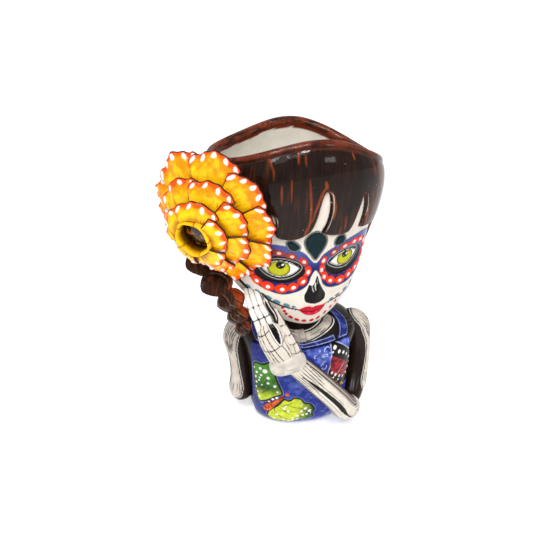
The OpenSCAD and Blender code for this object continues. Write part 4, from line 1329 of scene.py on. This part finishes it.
def plain(name, colour, node, scale, rough):
    """Unglazed or hidden clay: colour from one noise through a ramp, and a grainy bump."""
    made = bpy.data.materials.new(name)
    made.use_nodes = True
    nodes, links = made.node_tree.nodes, made.node_tree.links
    shader = nodes["Principled BSDF"]
    place, noise, ramp, raised = (
        nodes.new(k) for k in ("ShaderNodeTexCoord", "ShaderNodeTexNoise", "ShaderNodeValToRGB",
                               "ShaderNodeBump"))
    links.new(place.outputs["Object"], noise.inputs["Vector"])
    noise.inputs["Scale"].default_value, noise.inputs["Detail"].default_value = scale, 6
    ramp.color_ramp.elements[0].color = (*(colour * 0.7), 1)
    ramp.color_ramp.elements[1].color = (*(colour * 1.15), 1)
    links.new(noise.outputs["Fac"], ramp.inputs["Fac"])
    links.new(ramp.outputs["Color"], shader.inputs["Base Color"])
    links.new(noise.outputs["Fac"], raised.inputs["Height"])
    raised.inputs["Strength"].default_value, raised.inputs["Distance"].default_value = 0.4, 0.0005
    links.new(raised.outputs["Normal"], shader.inputs["Normal"])
    shader.inputs["Roughness"].default_value = rough
    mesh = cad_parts[node].data
    mesh.materials.clear()
    mesh.materials.append(made)


plain("bare_clay", rgb(178, 116, 78), "foot_slab", 260, 0.85)
plain("boss_glaze", rgb(206, 96, 20), "flower_boss", 180, 0.25)


# ---- Room, light and camera ----

floor_mesh = bpy.data.meshes.new("floor")
floor_mesh.from_pydata([(-30, -30, 0), (30, -30, 0), (30, 30, 0), (-30, 30, 0)], [], [(0, 1, 2, 3)])
floor = bpy.data.objects.new("floor", floor_mesh)
bpy.context.scene.collection.objects.link(floor)
paper = bpy.data.materials.new("paper")
paper.use_nodes = True
for socket, value in (("Base Color", (0.9, 0.9, 0.9, 1)), ("Roughness", 0.9), ("Specular IOR Level", 0.0),
                      ("Emission Color", (1, 1, 1, 1)), ("Emission Strength", 0.46)):
    paper.node_tree.nodes["Principled BSDF"].inputs[socket].default_value = value
floor_mesh.materials.append(paper)

world = bpy.data.worlds.new("room")
bpy.context.scene.world = world
world.use_nodes = True
world.node_tree.nodes["Background"].inputs["Color"].default_value = (1, 1, 1, 1)
world.node_tree.nodes["Background"].inputs["Strength"].default_value = 0.55


def lamp(name, at, to, size, power):
    light = bpy.data.lights.new(name, "AREA")
    light.shape, light.size, light.size_y = "RECTANGLE", size[0], size[1]
    light.energy = power
    made = bpy.data.objects.new(name, light)
    bpy.context.scene.collection.objects.link(made)
    made.location = at
    away = np.array(at) - np.array(to)
    made.rotation_mode = "QUATERNION"
    made.rotation_quaternion = Vector(away).to_track_quat("Z", "Y")


sun = bpy.data.lights.new("sun", "SUN")
sun.energy, sun.angle = 0.62, math.radians(35)
made = bpy.data.objects.new("sun", sun)
bpy.context.scene.collection.objects.link(made)
made.rotation_euler = (math.radians(38), math.radians(-12), 0)
lamp("key", (-0.7, -1.1, 1.5), (0, 0, 0.2), (0.4, 0.3), 6)
lamp("fill", (1.2, -1.3, 0.9), (0, 0, 0.2), (0.3, 0.3), 2)
lamp("tube_1", (-0.1, -0.75, 1.5), (0, 0, 0.25), (1.0, 0.05), 10)
lamp("tube_2", (0.2, -1.35, 1.45), (0, 0, 0.25), (0.6, 0.05), 6)
lamp("top", (0, 0.5, 1.9), (0, 0, 0.2), (1.0, 0.5), 6)

camera = bpy.data.objects.new("camera", bpy.data.cameras.new("camera"))
bpy.context.scene.collection.objects.link(camera)
bpy.context.scene.camera = camera
CAMERA_TURN, CAMERA_RISE, CAMERA_FAR, LOOK_AT = math.radians(-7), math.radians(24), 0.75, (-0.032, 0, 0.18)
level = math.cos(CAMERA_RISE)
back = Vector((math.sin(CAMERA_TURN) * level, -math.cos(CAMERA_TURN) * level, math.sin(CAMERA_RISE)))
camera.location = Vector(LOOK_AT) + back * CAMERA_FAR
camera.rotation_mode = "QUATERNION"
camera.rotation_quaternion = (-back).to_track_quat("-Z", "Y")
camera.data.sensor_width, camera.data.lens = 36, 651 / 540 * 36
camera.data.clip_start, camera.data.clip_end = 0.02, 100

view = bpy.context.scene.view_settings
view.view_transform, view.look, view.exposure, view.gamma = "Standard", "None", 0, 1
